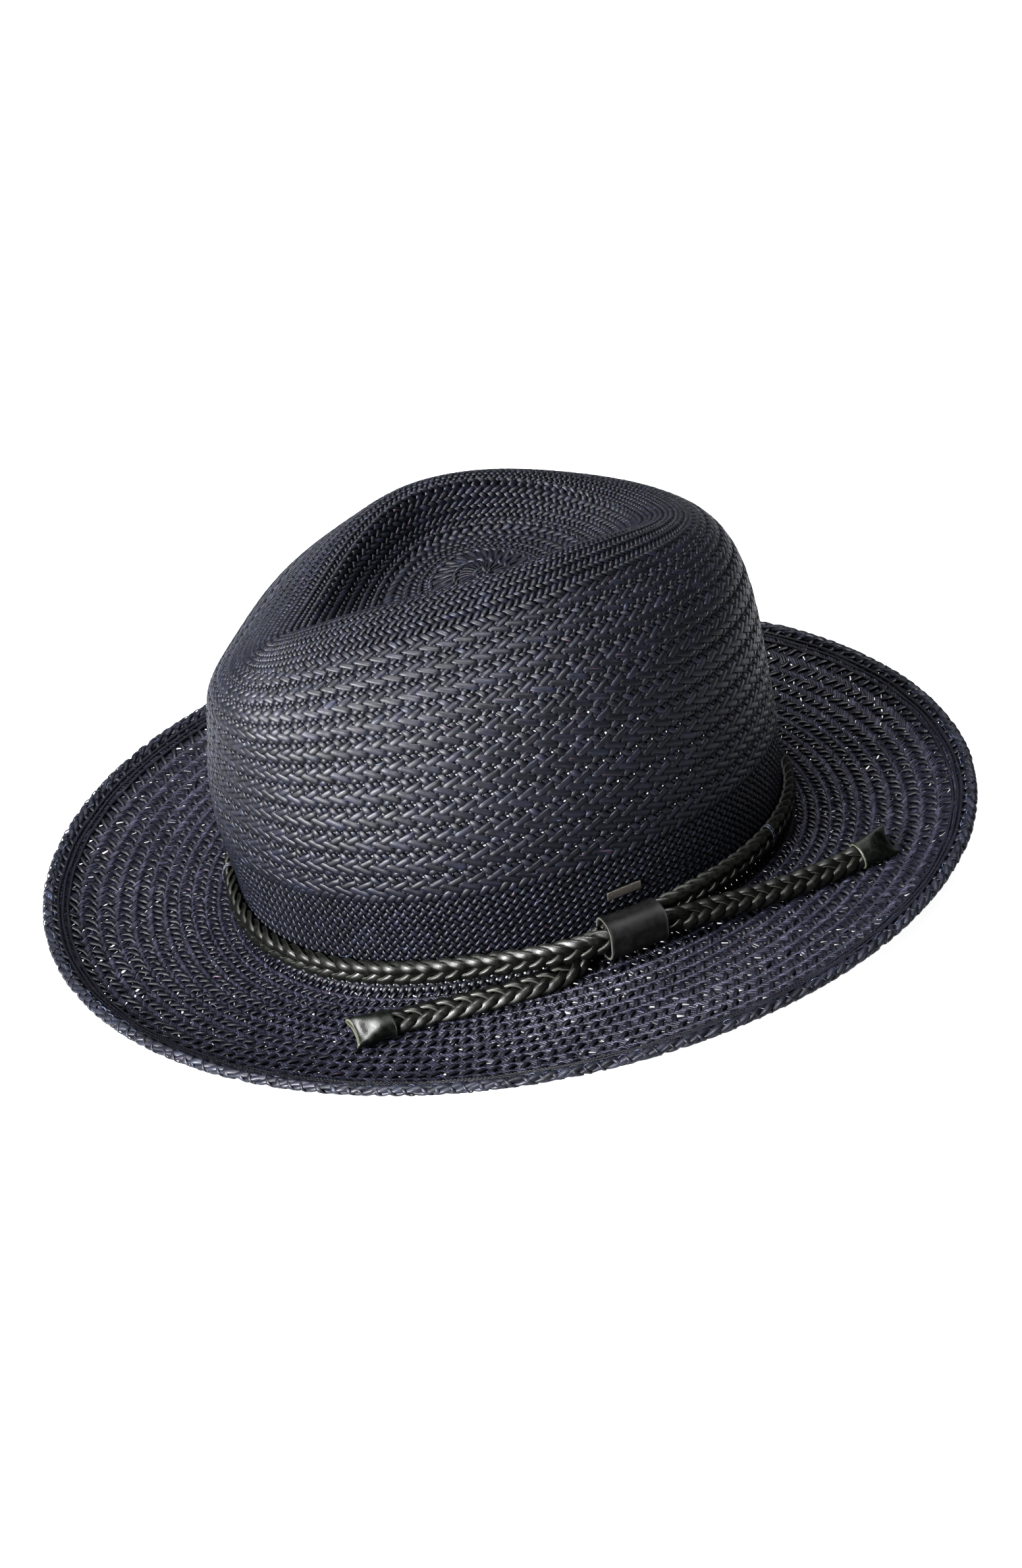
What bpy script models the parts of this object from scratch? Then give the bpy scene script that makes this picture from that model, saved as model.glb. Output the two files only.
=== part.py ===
"""Fedora hat: a woven straw body with a braided leather band drawn through a sliding keeper.

Metres, +Z up.  The hat stands on its brim at z = 0 with the crown's axis on x = y = 0.
The front of the hat looks along -Y, the wearer's left is +X.
"""
import math
from dataclasses import dataclass

import bmesh
import bpy
import numpy as np
from mathutils import Vector

# ---- driving dimensions ------------------------------------------------------------------
HEAD_HALF_LENGTH = 0.1021      # middle of the straw at the band, front to back
HEAD_HALF_WIDTH = 0.0861       # the same, side to side
CROWN_HEIGHT = 0.120           # band level to the top of the crease's lip
BRIM_WIDTH = 0.0723            # head oval to the brim's outer edge, at the front and back
BRIM_WIDTH_SIDE = 0.0696       # the same at the sides
STRAW = 0.0014                 # two straws, one over the other
GAP = 0.0003                   # clearance between pieces that touch
BAND_LEVEL = 0.0167            # the braid's middle line above the surface the hat stands on

BRAID_WIDTH = 0.0084           # the flat braid, up the crown's wall
BRAID_THICK = 0.0046           # and out from it
LEATHER = 0.0011               # keeper's leather
KEEPER_LENGTH = 0.0225
KEEPER_HEIGHT = 0.0146
KEEPER_ANGLE = math.radians(-7.4)
KEEPER_TRAVEL = math.radians(2.8)   # the braids keep to the keeper's curve this far past it
TAIL_STEP = 0.0046             # spacing of the points along a tail
TAIL_TURN = 0.0130             # a tail turns over within this length
BRAID_CROSS = 0.0011           # how far each braid stands off level at the keeper's mouths

TIP_LENGTH = 0.0145
TIP_LEATHER = 0.0008
TIP_GRIP = 0.0060              # length of braid inside each tip

EDGE_WIDTH = 0.0036            # the woven roll at the brim's end
EDGE_THICK = 0.0028

SWEAT_HEIGHT = 0.030
SWEAT_LEATHER = 0.0010
SWEAT_LEAN = 0.0030            # the sweatband's free upper edge stands this far off the straw
REED = 0.0016
THREAD = 0.0008
RIBBON = 0.0012                # the bow's folded ribbon
TAPE = 0.0005                  # the size label's tape

PLATE_LENGTH = 0.0134
PLATE_HEIGHT = 0.0030
PLATE_THICK = 0.0009
PLATE_ANGLE = math.radians(-6.3)
PLATE_RISE = 0.0128            # above the braid's middle line
PRONG = 0.0010
PRONG_SPACING = 0.0086
CLIP_LENGTH = 0.0112
CLIP_THICK = 0.0005

COLUMNS = 28                   # columns of the body's cage round the hat


@dataclass
class Ring:
    """One ring of the crown's cage, as shares of the head oval and of the crown's height."""
    front: float
    back: float
    side: float
    high_front: float
    high_side: float
    high_back: float
    taper: float = 0.0         # narrows the ring towards the front, to a teardrop
    pinch: float = 0.0         # presses both sides in beside the front


CROWN = [
    Ring(0.199, 0.162, 0.196, 0.832, 0.843, 0.834, taper=0.05),
    Ring(0.412, 0.359, 0.323, 0.812, 0.852, 0.822, taper=0.29),
    Ring(0.619, 0.525, 0.375, 0.855, 0.950, 0.837, taper=0.64),
    Ring(0.813, 0.658, 0.424, 0.927, 1.054, 0.852, taper=0.95),
    Ring(0.998, 0.821, 0.581, 0.848, 0.943, 0.834, taper=0.34, pinch=0.046),
    Ring(1.091, 0.934, 0.784, 0.746, 0.833, 0.743, taper=0.04, pinch=0.092),
    Ring(1.073, 0.967, 0.923, 0.609, 0.680, 0.597, taper=0.02, pinch=0.080),
    Ring(1.085, 0.978, 0.995, 0.408, 0.450, 0.400, pinch=0.035),
    Ring(1.061, 1.002, 1.024, 0.217, 0.242, 0.217),
    Ring(1.010, 1.008, 1.010, 0.070, 0.070, 0.070),
]
BUTTON_HEIGHT = 0.850          # the crown's centre, a share of its height
BUTTON_PLACE = -0.0015
SADDLE = 0.0048                # the band line stands higher at the sides than at the ends

# rings of the brim: share of the brim's width, depth under the band level, share of SADDLE
BRIM = [
    (0.000, -0.0058, 1.00),
    (0.055, -0.0112, 1.00),
    (0.250, -0.0122, 0.85),
    (0.550, -0.0118, 0.60),
    (0.790, -0.0092, 0.40),
    (0.945, -0.0048, 0.28),
]
BRIM_TIP = 0.0010              # the brim's edge is a little higher at the front and wearer's left

# where each tail's middle line runs, from the keeper's mouth to its end in the tip
FRONT_TAIL = [(0.0888, -0.0326, -0.0001), (0.0889, -0.0375, -0.0033), (0.0882, -0.0445, -0.0042),
              (0.0862, -0.0525, -0.0048), (0.0828, -0.0620, -0.0057), (0.0783, -0.0730, -0.0066),
              (0.0735, -0.0850, -0.0073), (0.0702, -0.0960, -0.0073), (0.0686, -0.1050, -0.0068)]
REAR_TAIL = [(0.0967, 0.0040, 0.0028), (0.0966, 0.0150, 0.0010), (0.0969, 0.0290, -0.0013),
             (0.0973, 0.0440, -0.0033), (0.0975, 0.0580, -0.0046), (0.0974, 0.0700, -0.0053),
             (0.0972, 0.0800, -0.0055), (0.0970, 0.0880, -0.0052)]
FRONT_LEAN = math.radians(62)      # how far each tail turns over from standing on edge
REAR_LEAN = math.radians(-48)
TACK_ANGLES = {"left": 34.0, "back": 120.0, "right": 180.0, "front": 243.0}

OBJECT_NAME = "fedora_hat"


# ---- scene and materials -----------------------------------------------------------------
def clear_scene():
    for item in list(bpy.data.objects):
        bpy.data.objects.remove(item, do_unlink=True)
    for group in list(bpy.data.collections):
        bpy.data.collections.remove(group)


def new_collection(name):
    group = bpy.data.collections.new(name)
    bpy.context.scene.collection.children.link(group)
    return group


def material(name, colour, roughness, metallic=0.0):
    made = bpy.data.materials.new(name)
    made.use_nodes = True
    shader = made.node_tree.nodes["Principled BSDF"]
    shader.inputs["Base Color"].default_value = (*colour, 1.0)
    shader.inputs["Roughness"].default_value = roughness
    shader.inputs["Metallic"].default_value = metallic
    return made


def add_object(name, data, finish, group=None):
    item = bpy.data.objects.new(name, data)
    (group or parts).objects.link(item)
    if finish:
        data.materials.append(finish)
    return item


def ring_mesh(name, points, pole=None):
    """A skin of quads over rings of points, closed by a fan at the first ring's pole if given."""
    rings, columns, _ = points.shape
    corners = points.reshape(-1, 3).tolist()
    faces = []
    for ring in range(rings - 1):
        for column in range(columns):
            following = (column + 1) % columns
            near, far = ring * columns, (ring + 1) * columns
            faces.append((near + column, far + column, far + following, near + following))
    if pole is not None:
        corners.append(pole)
        fan = [(column, (column + 1) % columns) for column in range(columns)]
        faces += [(len(corners) - 1, column, following) for column, following in fan]
    mesh = bpy.data.meshes.new(name)
    mesh.from_pydata(corners, [], faces)
    shape = bmesh.new()
    shape.from_mesh(mesh)
    bmesh.ops.recalc_face_normals(shape, faces=shape.faces)
    shape.to_mesh(mesh)
    shape.free()
    return mesh


def smooth(item, angle=math.radians(40)):
    item.data.shade_smooth()
    item.data.set_sharp_from_angle(angle=angle)


def solidify(item, thickness):
    """Give a skin its wall, half on each side."""
    wall = item.modifiers.new("wall", "SOLIDIFY")
    wall.thickness = thickness
    wall.offset = 0.0
    wall.use_even_offset = True


# ---- the body's surface ------------------------------------------------------------------
def ring_correction():
    """A uniform cubic curve passes inside its cage's corners by this share."""
    return 3 / (2 + math.cos(2 * math.pi / COLUMNS))


def crown_ring(ring, angle):
    """x, y, z of a crown ring: an oval, narrowed to a teardrop and pinched beside the front."""
    cosine, sine = np.cos(angle), np.sin(angle)
    ahead, behind = np.clip(-sine, 0, None), np.clip(sine, 0, None)
    centre = (ring.back - ring.front) / 2
    half = (ring.back + ring.front) / 2
    from_front = np.degrees(np.arctan2(sine, np.abs(cosine)))
    press = ring.pinch * np.exp(-((from_front + 48) / 24) ** 2)
    side = np.abs(cosine) * ring.side * (1 - ring.taper * ahead ** 1.5)
    side = side - press * np.minimum(1, 2 * np.abs(cosine))
    high = ring.high_side + (ring.high_front - ring.high_side) * ahead ** 1.5
    high = high + (ring.high_back - ring.high_side) * behind ** 2
    grow = ring_correction()
    x = HEAD_HALF_WIDTH * grow * side * np.sign(cosine)
    y = HEAD_HALF_LENGTH * grow * (centre + half * sine + 0.25 * press)
    z = CROWN_HEIGHT * high
    low = np.clip(1 - high / 0.30, 0, 1)
    return np.stack([x, y, z + SADDLE * low * np.cos(2 * angle)], -1)


def brim_ring(share, depth, sway, angle):
    """x, y, z of a brim ring: the head oval moved outward, tipped and saddled."""
    cosine, sine = np.cos(angle), np.sin(angle)
    grow = ring_correction()
    x = grow * (HEAD_HALF_WIDTH + share * BRIM_WIDTH_SIDE) * cosine
    y = grow * (HEAD_HALF_LENGTH + share * BRIM_WIDTH) * sine
    z = depth + SADDLE * sway * np.cos(2 * angle) + BRIM_TIP * share ** 2 * (cosine - sine)
    return np.stack([x, y, z], -1)


def body_cage():
    angle = np.arange(COLUMNS) * 2 * np.pi / COLUMNS
    rings = [crown_ring(ring, angle) for ring in CROWN]
    rings += [brim_ring(*ring, angle) for ring in BRIM]
    cage = np.array(rings)
    cage[..., 2] += BAND_LEVEL
    return cage


def blend_weights(share):
    """The four weights of a uniform cubic B-spline."""
    return np.array([(1 - share) ** 3, 3 * share ** 3 - 6 * share ** 2 + 4,
                     -3 * share ** 3 + 3 * share ** 2 + 3 * share + 1, share ** 3]) / 6


def body_point(angle, row):
    """The body's middle surface at an angle round the hat and a row down its cage."""
    place = angle / (2 * math.pi) * COLUMNS
    column = math.floor(place)
    round_weights = blend_weights(place - column)
    first = min(int(row), len(CAGE) - 3)
    down_weights = blend_weights(row - first)
    point = np.zeros(3)
    for step_down in range(4):
        for step_round in range(4):
            corner = CAGE[first - 1 + step_down, (column - 1 + step_round) % COLUMNS]
            point += down_weights[step_down] * round_weights[step_round] * corner
    return point


def wall_point(angle, level, out=0.0):
    """A point beside the crown's wall, at a height over the band's line there."""
    wanted = BAND_LEVEL + SADDLE * math.cos(2 * angle) + level
    low, high = WALL_ROWS
    for _ in range(40):
        middle = (low + high) / 2
        if body_point(angle, middle)[2] > wanted:
            low = middle
        else:
            high = middle
    point = body_point(angle, low)
    step = 0.01
    ahead = body_point(angle + step, low) - body_point(angle - step, low)
    outward = np.array([ahead[1], -ahead[0], 0.0])
    return point + out * outward / np.linalg.norm(outward)


def wall_frame(angle, level, out):
    """A place beside the wall, and the directions along it, up it and out of it."""
    place = Vector(wall_point(angle, level, out))
    before, after = wall_point(angle - 0.02, level, out), wall_point(angle + 0.02, level, out)
    along = Vector(after - before).normalized()
    outward = along.cross(Vector((0, 0, 1))).normalized()
    return place, along, outward.cross(along).normalized(), outward


def wall_radius(angle):
    """How tightly the wall curves round, at the band's line."""
    here, _, _, outward = wall_frame(angle, 0.0, 0.0)
    ahead, _, _, outward_ahead = wall_frame(angle + 0.08, 0.0, 0.0)
    return (ahead - here).length / (2 * math.sin(outward.angle(outward_ahead) / 2))


def bow_room(length, angle):
    """The room between a flat piece's middle and the hollow wall that its ends meet."""
    return (length / 2) ** 2 / 2 / wall_radius(angle)


# ---- curves ------------------------------------------------------------------------------
def smooth_route(route, spacing):
    """Points at even steps along the smooth curve through the route's own points."""
    route = np.array(route, float)
    run = np.concatenate([[0], np.cumsum(np.linalg.norm(np.diff(route, axis=0), axis=1))])
    slope = np.gradient(route, run, axis=0)
    count = max(2, round(run[-1] / spacing)) + 1
    at = np.linspace(0, run[-1], count)
    segment = np.clip(np.searchsorted(run, at, side="right") - 1, 0, len(route) - 2)
    width = (run[segment + 1] - run[segment])[:, None]
    share = (at[:, None] - run[segment][:, None]) / width
    return ((2 * share ** 3 - 3 * share ** 2 + 1) * route[segment]
            + (share ** 3 - 2 * share ** 2 + share) * width * slope[segment]
            + (3 * share ** 2 - 2 * share ** 3) * route[segment + 1]
            + (share ** 3 - share ** 2) * width * slope[segment + 1])


def tube(name, points, finish, depth=0.0, section=None, closed=False, resolution=2, tilts=None):
    """A round cord of radius depth, or a cord whose outline is the section curve."""
    curve = bpy.data.curves.new(name, "CURVE")
    curve.dimensions = "3D"
    curve.twist_mode = "Z_UP"
    curve.use_fill_caps = not closed
    spline = curve.splines.new("POLY")
    spline.points.add(len(points) - 1)
    for index, point in enumerate(points):
        spline.points[index].co = (*point, 1.0)
        if tilts is not None:
            spline.points[index].tilt = tilts[index]
    spline.use_cyclic_u = closed
    if section is not None:
        curve.bevel_mode = "OBJECT"
        curve.bevel_object = section
    else:
        curve.bevel_depth = depth
        curve.bevel_resolution = resolution
    return add_object(name, curve, finish)


def oval_section(name, width, height, corners=10):
    """A guide: the outline that a flat cord is drawn with."""
    curve = bpy.data.curves.new(name, "CURVE")
    curve.dimensions = "2D"
    spline = curve.splines.new("POLY")
    spline.points.add(corners - 1)
    for index in range(corners):
        turn = -2 * math.pi * (index + 0.5) / corners
        spline.points[index].co = (width / 2 * math.cos(turn), height / 2 * math.sin(turn), 0, 1)
    spline.use_cyclic_u = True
    return as_guide(add_object(name, curve, None, cutters))


def as_guide(item):
    """Mark an object as a cutter or a guide, which isn't a piece of the hat."""
    item.hide_render = True
    item.display_type = "WIRE"
    return item


def box(name, size, place, axes, finish, group=None):
    """A block of a given size along three directions."""
    bm = bmesh.new()
    bmesh.ops.create_cube(bm, size=1.0)
    for corner in bm.verts:
        local = corner.co.copy()
        corner.co = sum((axes[i] * local[i] * size[i] for i in range(3)), Vector(place))
    mesh = bpy.data.meshes.new(name)
    bm.to_mesh(mesh)
    bm.free()
    return add_object(name, mesh, finish, group)


# ---- the woven body ----------------------------------------------------------------------
def make_straw_body():
    pole = (0.0, BUTTON_PLACE, BAND_LEVEL + CROWN_HEIGHT * BUTTON_HEIGHT)
    mesh = ring_mesh("straw_body", CAGE, pole)
    body = add_object("straw_body", mesh, navy_straw)
    finer = body.modifiers.new("rounding", "SUBSURF")
    finer.levels = 1
    finer.render_levels = 1
    solidify(body, STRAW)
    slots = body.modifiers.new("prong_slots", "BOOLEAN")
    slots.operation = "DIFFERENCE"
    slots.solver = "EXACT"
    slots.object = make_prong_cutter()
    smooth(body)
    return body


def make_edge_braid():
    """The roll of woven ends round the brim, just outside the brim's edge."""
    section = oval_section("edge_section", EDGE_WIDTH, EDGE_THICK, 8)
    points = []
    for index in range(2 * COLUMNS):
        angle = 2 * math.pi * index / (2 * COLUMNS)
        edge = body_point(angle, len(CAGE) - 2)
        rim = brim_edge_point(angle)
        outward = rim - edge
        outward[2] *= 0.3
        outward /= np.linalg.norm(outward)
        points.append(rim + outward * (GAP + EDGE_WIDTH / 2 + 0.0001))
    return tube("brim_edge_braid", points, navy_edge, section=section, closed=True)


def brim_edge_point(angle):
    """The outer edge of the body's middle surface."""
    place = angle / (2 * math.pi) * COLUMNS
    column = math.floor(place)
    weights = blend_weights(place - column)
    return sum(weights[i] * CAGE[-1, (column - 1 + i) % COLUMNS] for i in range(4))


# ---- the sweatband and what is sewn to it ------------------------------------------------
def sweat_offset(level):
    """How far inside the straw the sweatband's middle lies, more towards its free edge."""
    share = (level - SWEAT_BOTTOM) / SWEAT_HEIGHT
    return -(STRAW / 2 + GAP + SWEAT_LEATHER / 2 + 0.0002 + SWEAT_LEAN * share ** 0.8)


def sweat_face(level):
    """How far inside the straw a flat trim's back lies, clear of the leaning sweatband."""
    return sweat_offset(level) - SWEAT_LEATHER / 2 - GAP - SWEAT_LEAN * 0.2


def make_sweatband():
    levels = [SWEAT_BOTTOM + SWEAT_HEIGHT * share for share in (0.0, 0.12, 0.4, 0.7, 1.0)]
    rows = []
    for level in levels:
        rows.append([wall_point(2 * math.pi * i / 56, level, sweat_offset(level))
                     for i in range(56)])
    mesh = ring_mesh("sweatband", np.array(rows))
    band = add_object("sweatband", mesh, sweat_leather)
    solidify(band, SWEAT_LEATHER)
    smooth(band)


def make_reed():
    """The thin plastic reed that stiffens the sweatband's sewn edge."""
    level = SWEAT_BOTTOM - GAP - REED / 2 - 0.0001
    points = [wall_point(2 * math.pi * i / 64, SWEAT_BOTTOM, sweat_offset(SWEAT_BOTTOM) - 0.0004)
              + np.array([0, 0, level - SWEAT_BOTTOM]) for i in range(64)]
    tube("sweatband_reed", points, reed_plastic, depth=REED / 2, closed=True, resolution=1)


def make_stitching():
    """The sewing thread, seen as a running line on the sweatband's inner face."""
    level = SWEAT_BOTTOM + 0.0030
    inset = sweat_offset(level) - SWEAT_LEATHER / 2 - GAP - THREAD / 2 - 0.0001
    points = [wall_point(2 * math.pi * i / 64, level, inset) for i in range(64)]
    tube("sweatband_stitching", points, dark_thread, depth=THREAD / 2, closed=True, resolution=1)


def flat_outline(name, outline, thickness, level, angle, inset, finish):
    """A flat shape cut from ribbon, standing against the sweatband's inner face."""
    place, along, upward, outward = wall_frame(angle, level, inset)
    curve = bpy.data.curves.new(name, "CURVE")
    curve.dimensions = "2D"
    curve.fill_mode = "BOTH"
    curve.extrude = thickness / 2
    spline = curve.splines.new("POLY")
    spline.points.add(len(outline) - 1)
    for index, (across, high) in enumerate(outline):
        spline.points[index].co = (across, high, 0, 1)
    spline.use_cyclic_u = True
    item = add_object(name, curve, finish)
    turn = item.matrix_world.copy()
    for row in range(3):
        turn[row][0], turn[row][1], turn[row][2] = along[row], upward[row], outward[row]
        turn[row][3] = place[row]
    item.matrix_world = turn
    return item


def make_bow():
    """The small ribbon bow over the sweatband's back seam, which marks the back of the hat."""
    half, knot, high, waist = 0.0150, 0.0028, 0.0055, 0.0022
    right = [(knot, -waist), (0.55 * half, -high), (half, -0.8 * high), (half, 0.8 * high),
             (0.55 * half, high), (knot, waist)]
    left = [(-across, up) for across, up in reversed(right)]
    level = SWEAT_BOTTOM + 0.0130
    angle = math.radians(90)
    inset = sweat_face(level) - RIBBON / 2 - bow_room(2 * half, angle)
    flat_outline("sweatband_bow", right + left, RIBBON, level, angle, inset, ribbon)


def make_size_label():
    """A plain woven tab on the sweatband, left blank."""
    half_width, half_height = 0.0090, 0.0055
    outline = [(-half_width, -half_height), (half_width, -half_height),
               (half_width, half_height), (-half_width, half_height)]
    level = SWEAT_BOTTOM + 0.0170
    angle = math.radians(122)
    inset = sweat_face(level) - TAPE / 2 - bow_room(2 * half_width, angle)
    flat_outline("size_label", outline, TAPE, level, angle, inset, label_tape)


# ---- the braided band --------------------------------------------------------------------
def ease(share):
    share = min(max(share, 0.0), 1.0)
    return share * share * (3 - 2 * share)


def band_place(turn):
    """The braid's middle at a turn round the hat, counted from the keeper.

    The braid starts behind the keeper, runs once round the crown against the straw, and ends
    in front of its own start, so the two stretches cross inside the keeper.
    """
    reach = math.radians(26)
    start_share = ease(1 - (turn - KEEPER_HOLD) / reach)
    end_share = ease(1 - (2 * math.pi - KEEPER_HOLD - turn) / reach)
    rest = STRAW / 2 + GAP + BRAID_THICK / 2 + 0.0001
    inner = STRAW / 2 + GAP + LEATHER + GAP + BRAID_THICK / 2 + 0.0002
    outer = inner + BRAID_THICK + GAP + 0.0001
    out = rest + (inner - rest) * start_share + (outer - rest) * end_share
    slope = math.tanh(turn / KEEPER_HOLD) if turn < math.pi else math.tanh(
        (2 * math.pi - turn) / KEEPER_HOLD)
    level = BRAID_CROSS * slope * (start_share + end_share) * 1.3
    return wall_point(KEEPER_ANGLE + turn, level, out)


def make_band_braid():
    turns = np.linspace(-KEEPER_HALF, 2 * math.pi + KEEPER_HALF, 100)
    points = [band_place(turn) for turn in turns]
    section = oval_section("braid_section", BRAID_THICK, BRAID_WIDTH)
    tube("band_braid", points, black_leather, section=section)


def tail_points(route, ending):
    """The tail's middle line: it starts where the band's braid ends, with a gap between."""
    back_in = math.copysign(0.02, ending)
    end, before = band_place(ending), band_place(ending - back_in)
    ahead = (end - before) / np.linalg.norm(end - before)
    starts = [end + ahead * run - np.array([0, 0, BAND_LEVEL]) for run in (GAP + 0.0002, TAIL_STEP)]
    route = [tuple(start) for start in starts] + route
    return smooth_route(route, TAIL_STEP) + np.array([0, 0, BAND_LEVEL])


def make_tail(name, route, ending, lean):
    """A free end of the braid; it leans over from standing on edge as it leaves the keeper."""
    points = tail_points(route, ending)
    section = oval_section(name + "_section", BRAID_THICK, BRAID_WIDTH)
    tilts = [lean * ease((index - 0.5) * TAIL_STEP / TAIL_TURN) for index in range(len(points))]
    tube(name, points, black_leather, section=section, tilts=tilts)


def make_tip(name, route, ending, lean):
    """A leather ferrule on a tail's end: a round mouth, pressed flat and wide at its end."""
    points = tail_points(route, ending)
    last, before = Vector(points[-1]), Vector(points[-2])
    ahead = (last - before).normalized()
    across = ahead.cross(Vector((0, 0, 1))).normalized()
    upward = across.cross(ahead).normalized()
    turn_across = across * math.cos(lean) - upward * math.sin(lean)
    turn_upward = upward * math.cos(lean) + across * math.sin(lean)
    clear = 2 * GAP + TIP_LEATHER
    mouth = (BRAID_THICK + clear, BRAID_WIDTH + clear)
    held = (TIP_GRIP + GAP) / TIP_LENGTH
    stations = [(0.0, *mouth), (held / 2, *mouth), (held, *mouth),
                (0.75, mouth[0] * 0.66, mouth[1] * 1.06), (1.0, mouth[0] * 0.44, mouth[1] * 1.16)]
    rows = []
    for share, thick, wide in stations:
        middle = last + ahead * (TIP_LENGTH * share - TIP_GRIP)
        row = []
        for index in range(16):
            turn = 2 * math.pi * (index + 0.5) / 16
            row.append(middle + turn_across * (thick / 2 * math.cos(turn))
                       + turn_upward * (wide / 2 * math.sin(turn)))
        rows.append(row)
    item = add_object(name, ring_mesh(name, np.array(rows)), tip_leather)
    solidify(item, TIP_LEATHER)
    smooth(item)


def keeper_axis():
    """The upright axis that the braid's curve by the keeper turns about."""
    middle, _, _, outward = wall_frame(KEEPER_ANGLE, 0.0, 0.0)
    radius = wall_radius(KEEPER_ANGLE)
    centre = middle - outward * radius
    return Vector((centre.x, centre.y, BAND_LEVEL + SADDLE)), radius


def make_keeper():
    """A strip of leather closed to a flat loop round both braids, free to slide along them."""
    axis, radius = keeper_axis()
    middle, along, _, outward = wall_frame(KEEPER_ANGLE, 0.0, 0.0)
    near = STRAW / 2 + GAP + LEATHER / 2 + 0.0001
    depth = LEATHER + 2 * BRAID_THICK + 3 * GAP + 0.0005
    height = KEEPER_HEIGHT - LEATHER
    corner = 0.0030
    outline = []
    for centre_out, centre_up, first in ((depth - corner, height / 2 - corner, 0),
                                         (corner, height / 2 - corner, 90),
                                         (corner, corner - height / 2, 180),
                                         (depth - corner, corner - height / 2, 270)):
        for step in range(5):
            turn = math.radians(first + 22.5 * step)
            outline.append((near + centre_out + corner * math.cos(turn),
                            centre_up + corner * math.sin(turn)))
    start = math.atan2(outward.y, outward.x)
    rows = []
    for step in range(7):
        turn = start + (step / 6 - 0.5) * KEEPER_LENGTH / (radius + near + depth)
        rows.append([((radius + out) * math.cos(turn), (radius + out) * math.sin(turn),
                      middle.z - axis.z + up) for out, up in outline])
    keeper = add_object("keeper", ring_mesh("keeper", np.array(rows)), keeper_leather)
    solidify(keeper, LEATHER)
    smooth(keeper)
    pivot = bpy.data.objects.new("keeper_pivot", None)
    parts.objects.link(pivot)
    pivot.location = axis
    keeper.parent = pivot


def make_tack(name, angle):
    """A loop of thread that holds the braid to the straw."""
    rest = STRAW / 2 + GAP + BRAID_THICK / 2 + 0.0001
    half_high = BRAID_WIDTH / 2 + GAP + THREAD / 2 + 0.0002
    half_out = BRAID_THICK / 2 + GAP + THREAD / 2 + 0.0002
    points = []
    for step in range(15):
        turn = math.radians(-104 + 208 * step / 14)
        level = half_high * math.sin(turn)
        out = rest + half_out * math.cos(turn)
        foot, _, _, outward = wall_frame(angle, 0.0, out)
        points.append(foot + Vector((0, 0, level)))
    tube(name, points, dark_thread, depth=THREAD / 2, resolution=1)


# ---- the side plate ----------------------------------------------------------------------
def plate_frame(out):
    return wall_frame(PLATE_ANGLE, PLATE_RISE, out)


def prong_places(out):
    place, along, upward, outward = plate_frame(out)
    return [(place + along * side * PRONG_SPACING / 2, (along, upward, outward))
            for side in (-1, 1)]


def make_prong_cutter():
    """Two slots through the straw for the plate's prongs."""
    size = (PRONG + 2 * GAP, PRONG + 2 * GAP, 4 * STRAW)
    places = prong_places(0.0)
    cutter = box("prong_cutter", size, places[0][0], places[0][1], None, cutters)
    second = box("prong_cutter_b", size, places[1][0], places[1][1], None, cutters)
    shape = bmesh.new()
    shape.from_mesh(cutter.data)
    shape.from_mesh(second.data)
    shape.to_mesh(cutter.data)
    shape.free()
    bpy.data.objects.remove(second, do_unlink=True)
    return as_guide(cutter)


def join_boxes(target, others):
    """Unite blocks that overlap into one solid."""
    for index, other in enumerate(others):
        union = target.modifiers.new(f"join_{index}", "BOOLEAN")
        union.operation = "UNION"
        union.solver = "EXACT"
        union.object = as_guide(other)


def clip_place():
    """The flat clip's middle, clear of the curved wall behind the plate."""
    return -(STRAW / 2 + GAP + CLIP_THICK / 2 + bow_room(CLIP_LENGTH, PLATE_ANGLE) + 0.0002)


def make_side_plate():
    """A small bar on the crown's side; two prongs go through the straw to a clip behind."""
    out = STRAW / 2 + GAP + PLATE_THICK / 2 + 0.0001
    place, along, upward, outward = plate_frame(out)
    plate = box("side_plate", (PLATE_LENGTH, PLATE_HEIGHT, PLATE_THICK), place,
                (along, upward, outward), gunmetal)
    inner_end = clip_place() - CLIP_THICK / 2 - GAP
    reach = out - inner_end
    prongs = []
    for index, (foot, axes) in enumerate(prong_places(inner_end + reach / 2)):
        prongs.append(box(f"prong_{index}", (PRONG, PRONG, reach), foot, axes, None, cutters))
    join_boxes(plate, prongs)


def make_plate_clip():
    """The thin washer behind the straw that the prongs are bent over."""
    out = clip_place()
    place, along, upward, outward = plate_frame(out)
    clip = box("side_plate_clip", (CLIP_LENGTH, PLATE_HEIGHT, CLIP_THICK), place,
               (along, upward, outward), gunmetal)
    size = (PRONG + 2 * GAP, PRONG + 2 * GAP, 4 * CLIP_THICK)
    for index, (foot, axes) in enumerate(prong_places(out)):
        cutter = box(f"clip_cutter_{index}", size, foot, axes, None, cutters)
        as_guide(cutter)
        hole = clip.modifiers.new(f"hole_{index}", "BOOLEAN")
        hole.operation = "DIFFERENCE"
        hole.solver = "EXACT"
        hole.object = cutter


# ---- build -------------------------------------------------------------------------------
clear_scene()
parts = new_collection(OBJECT_NAME)
cutters = new_collection("cutters")

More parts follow.
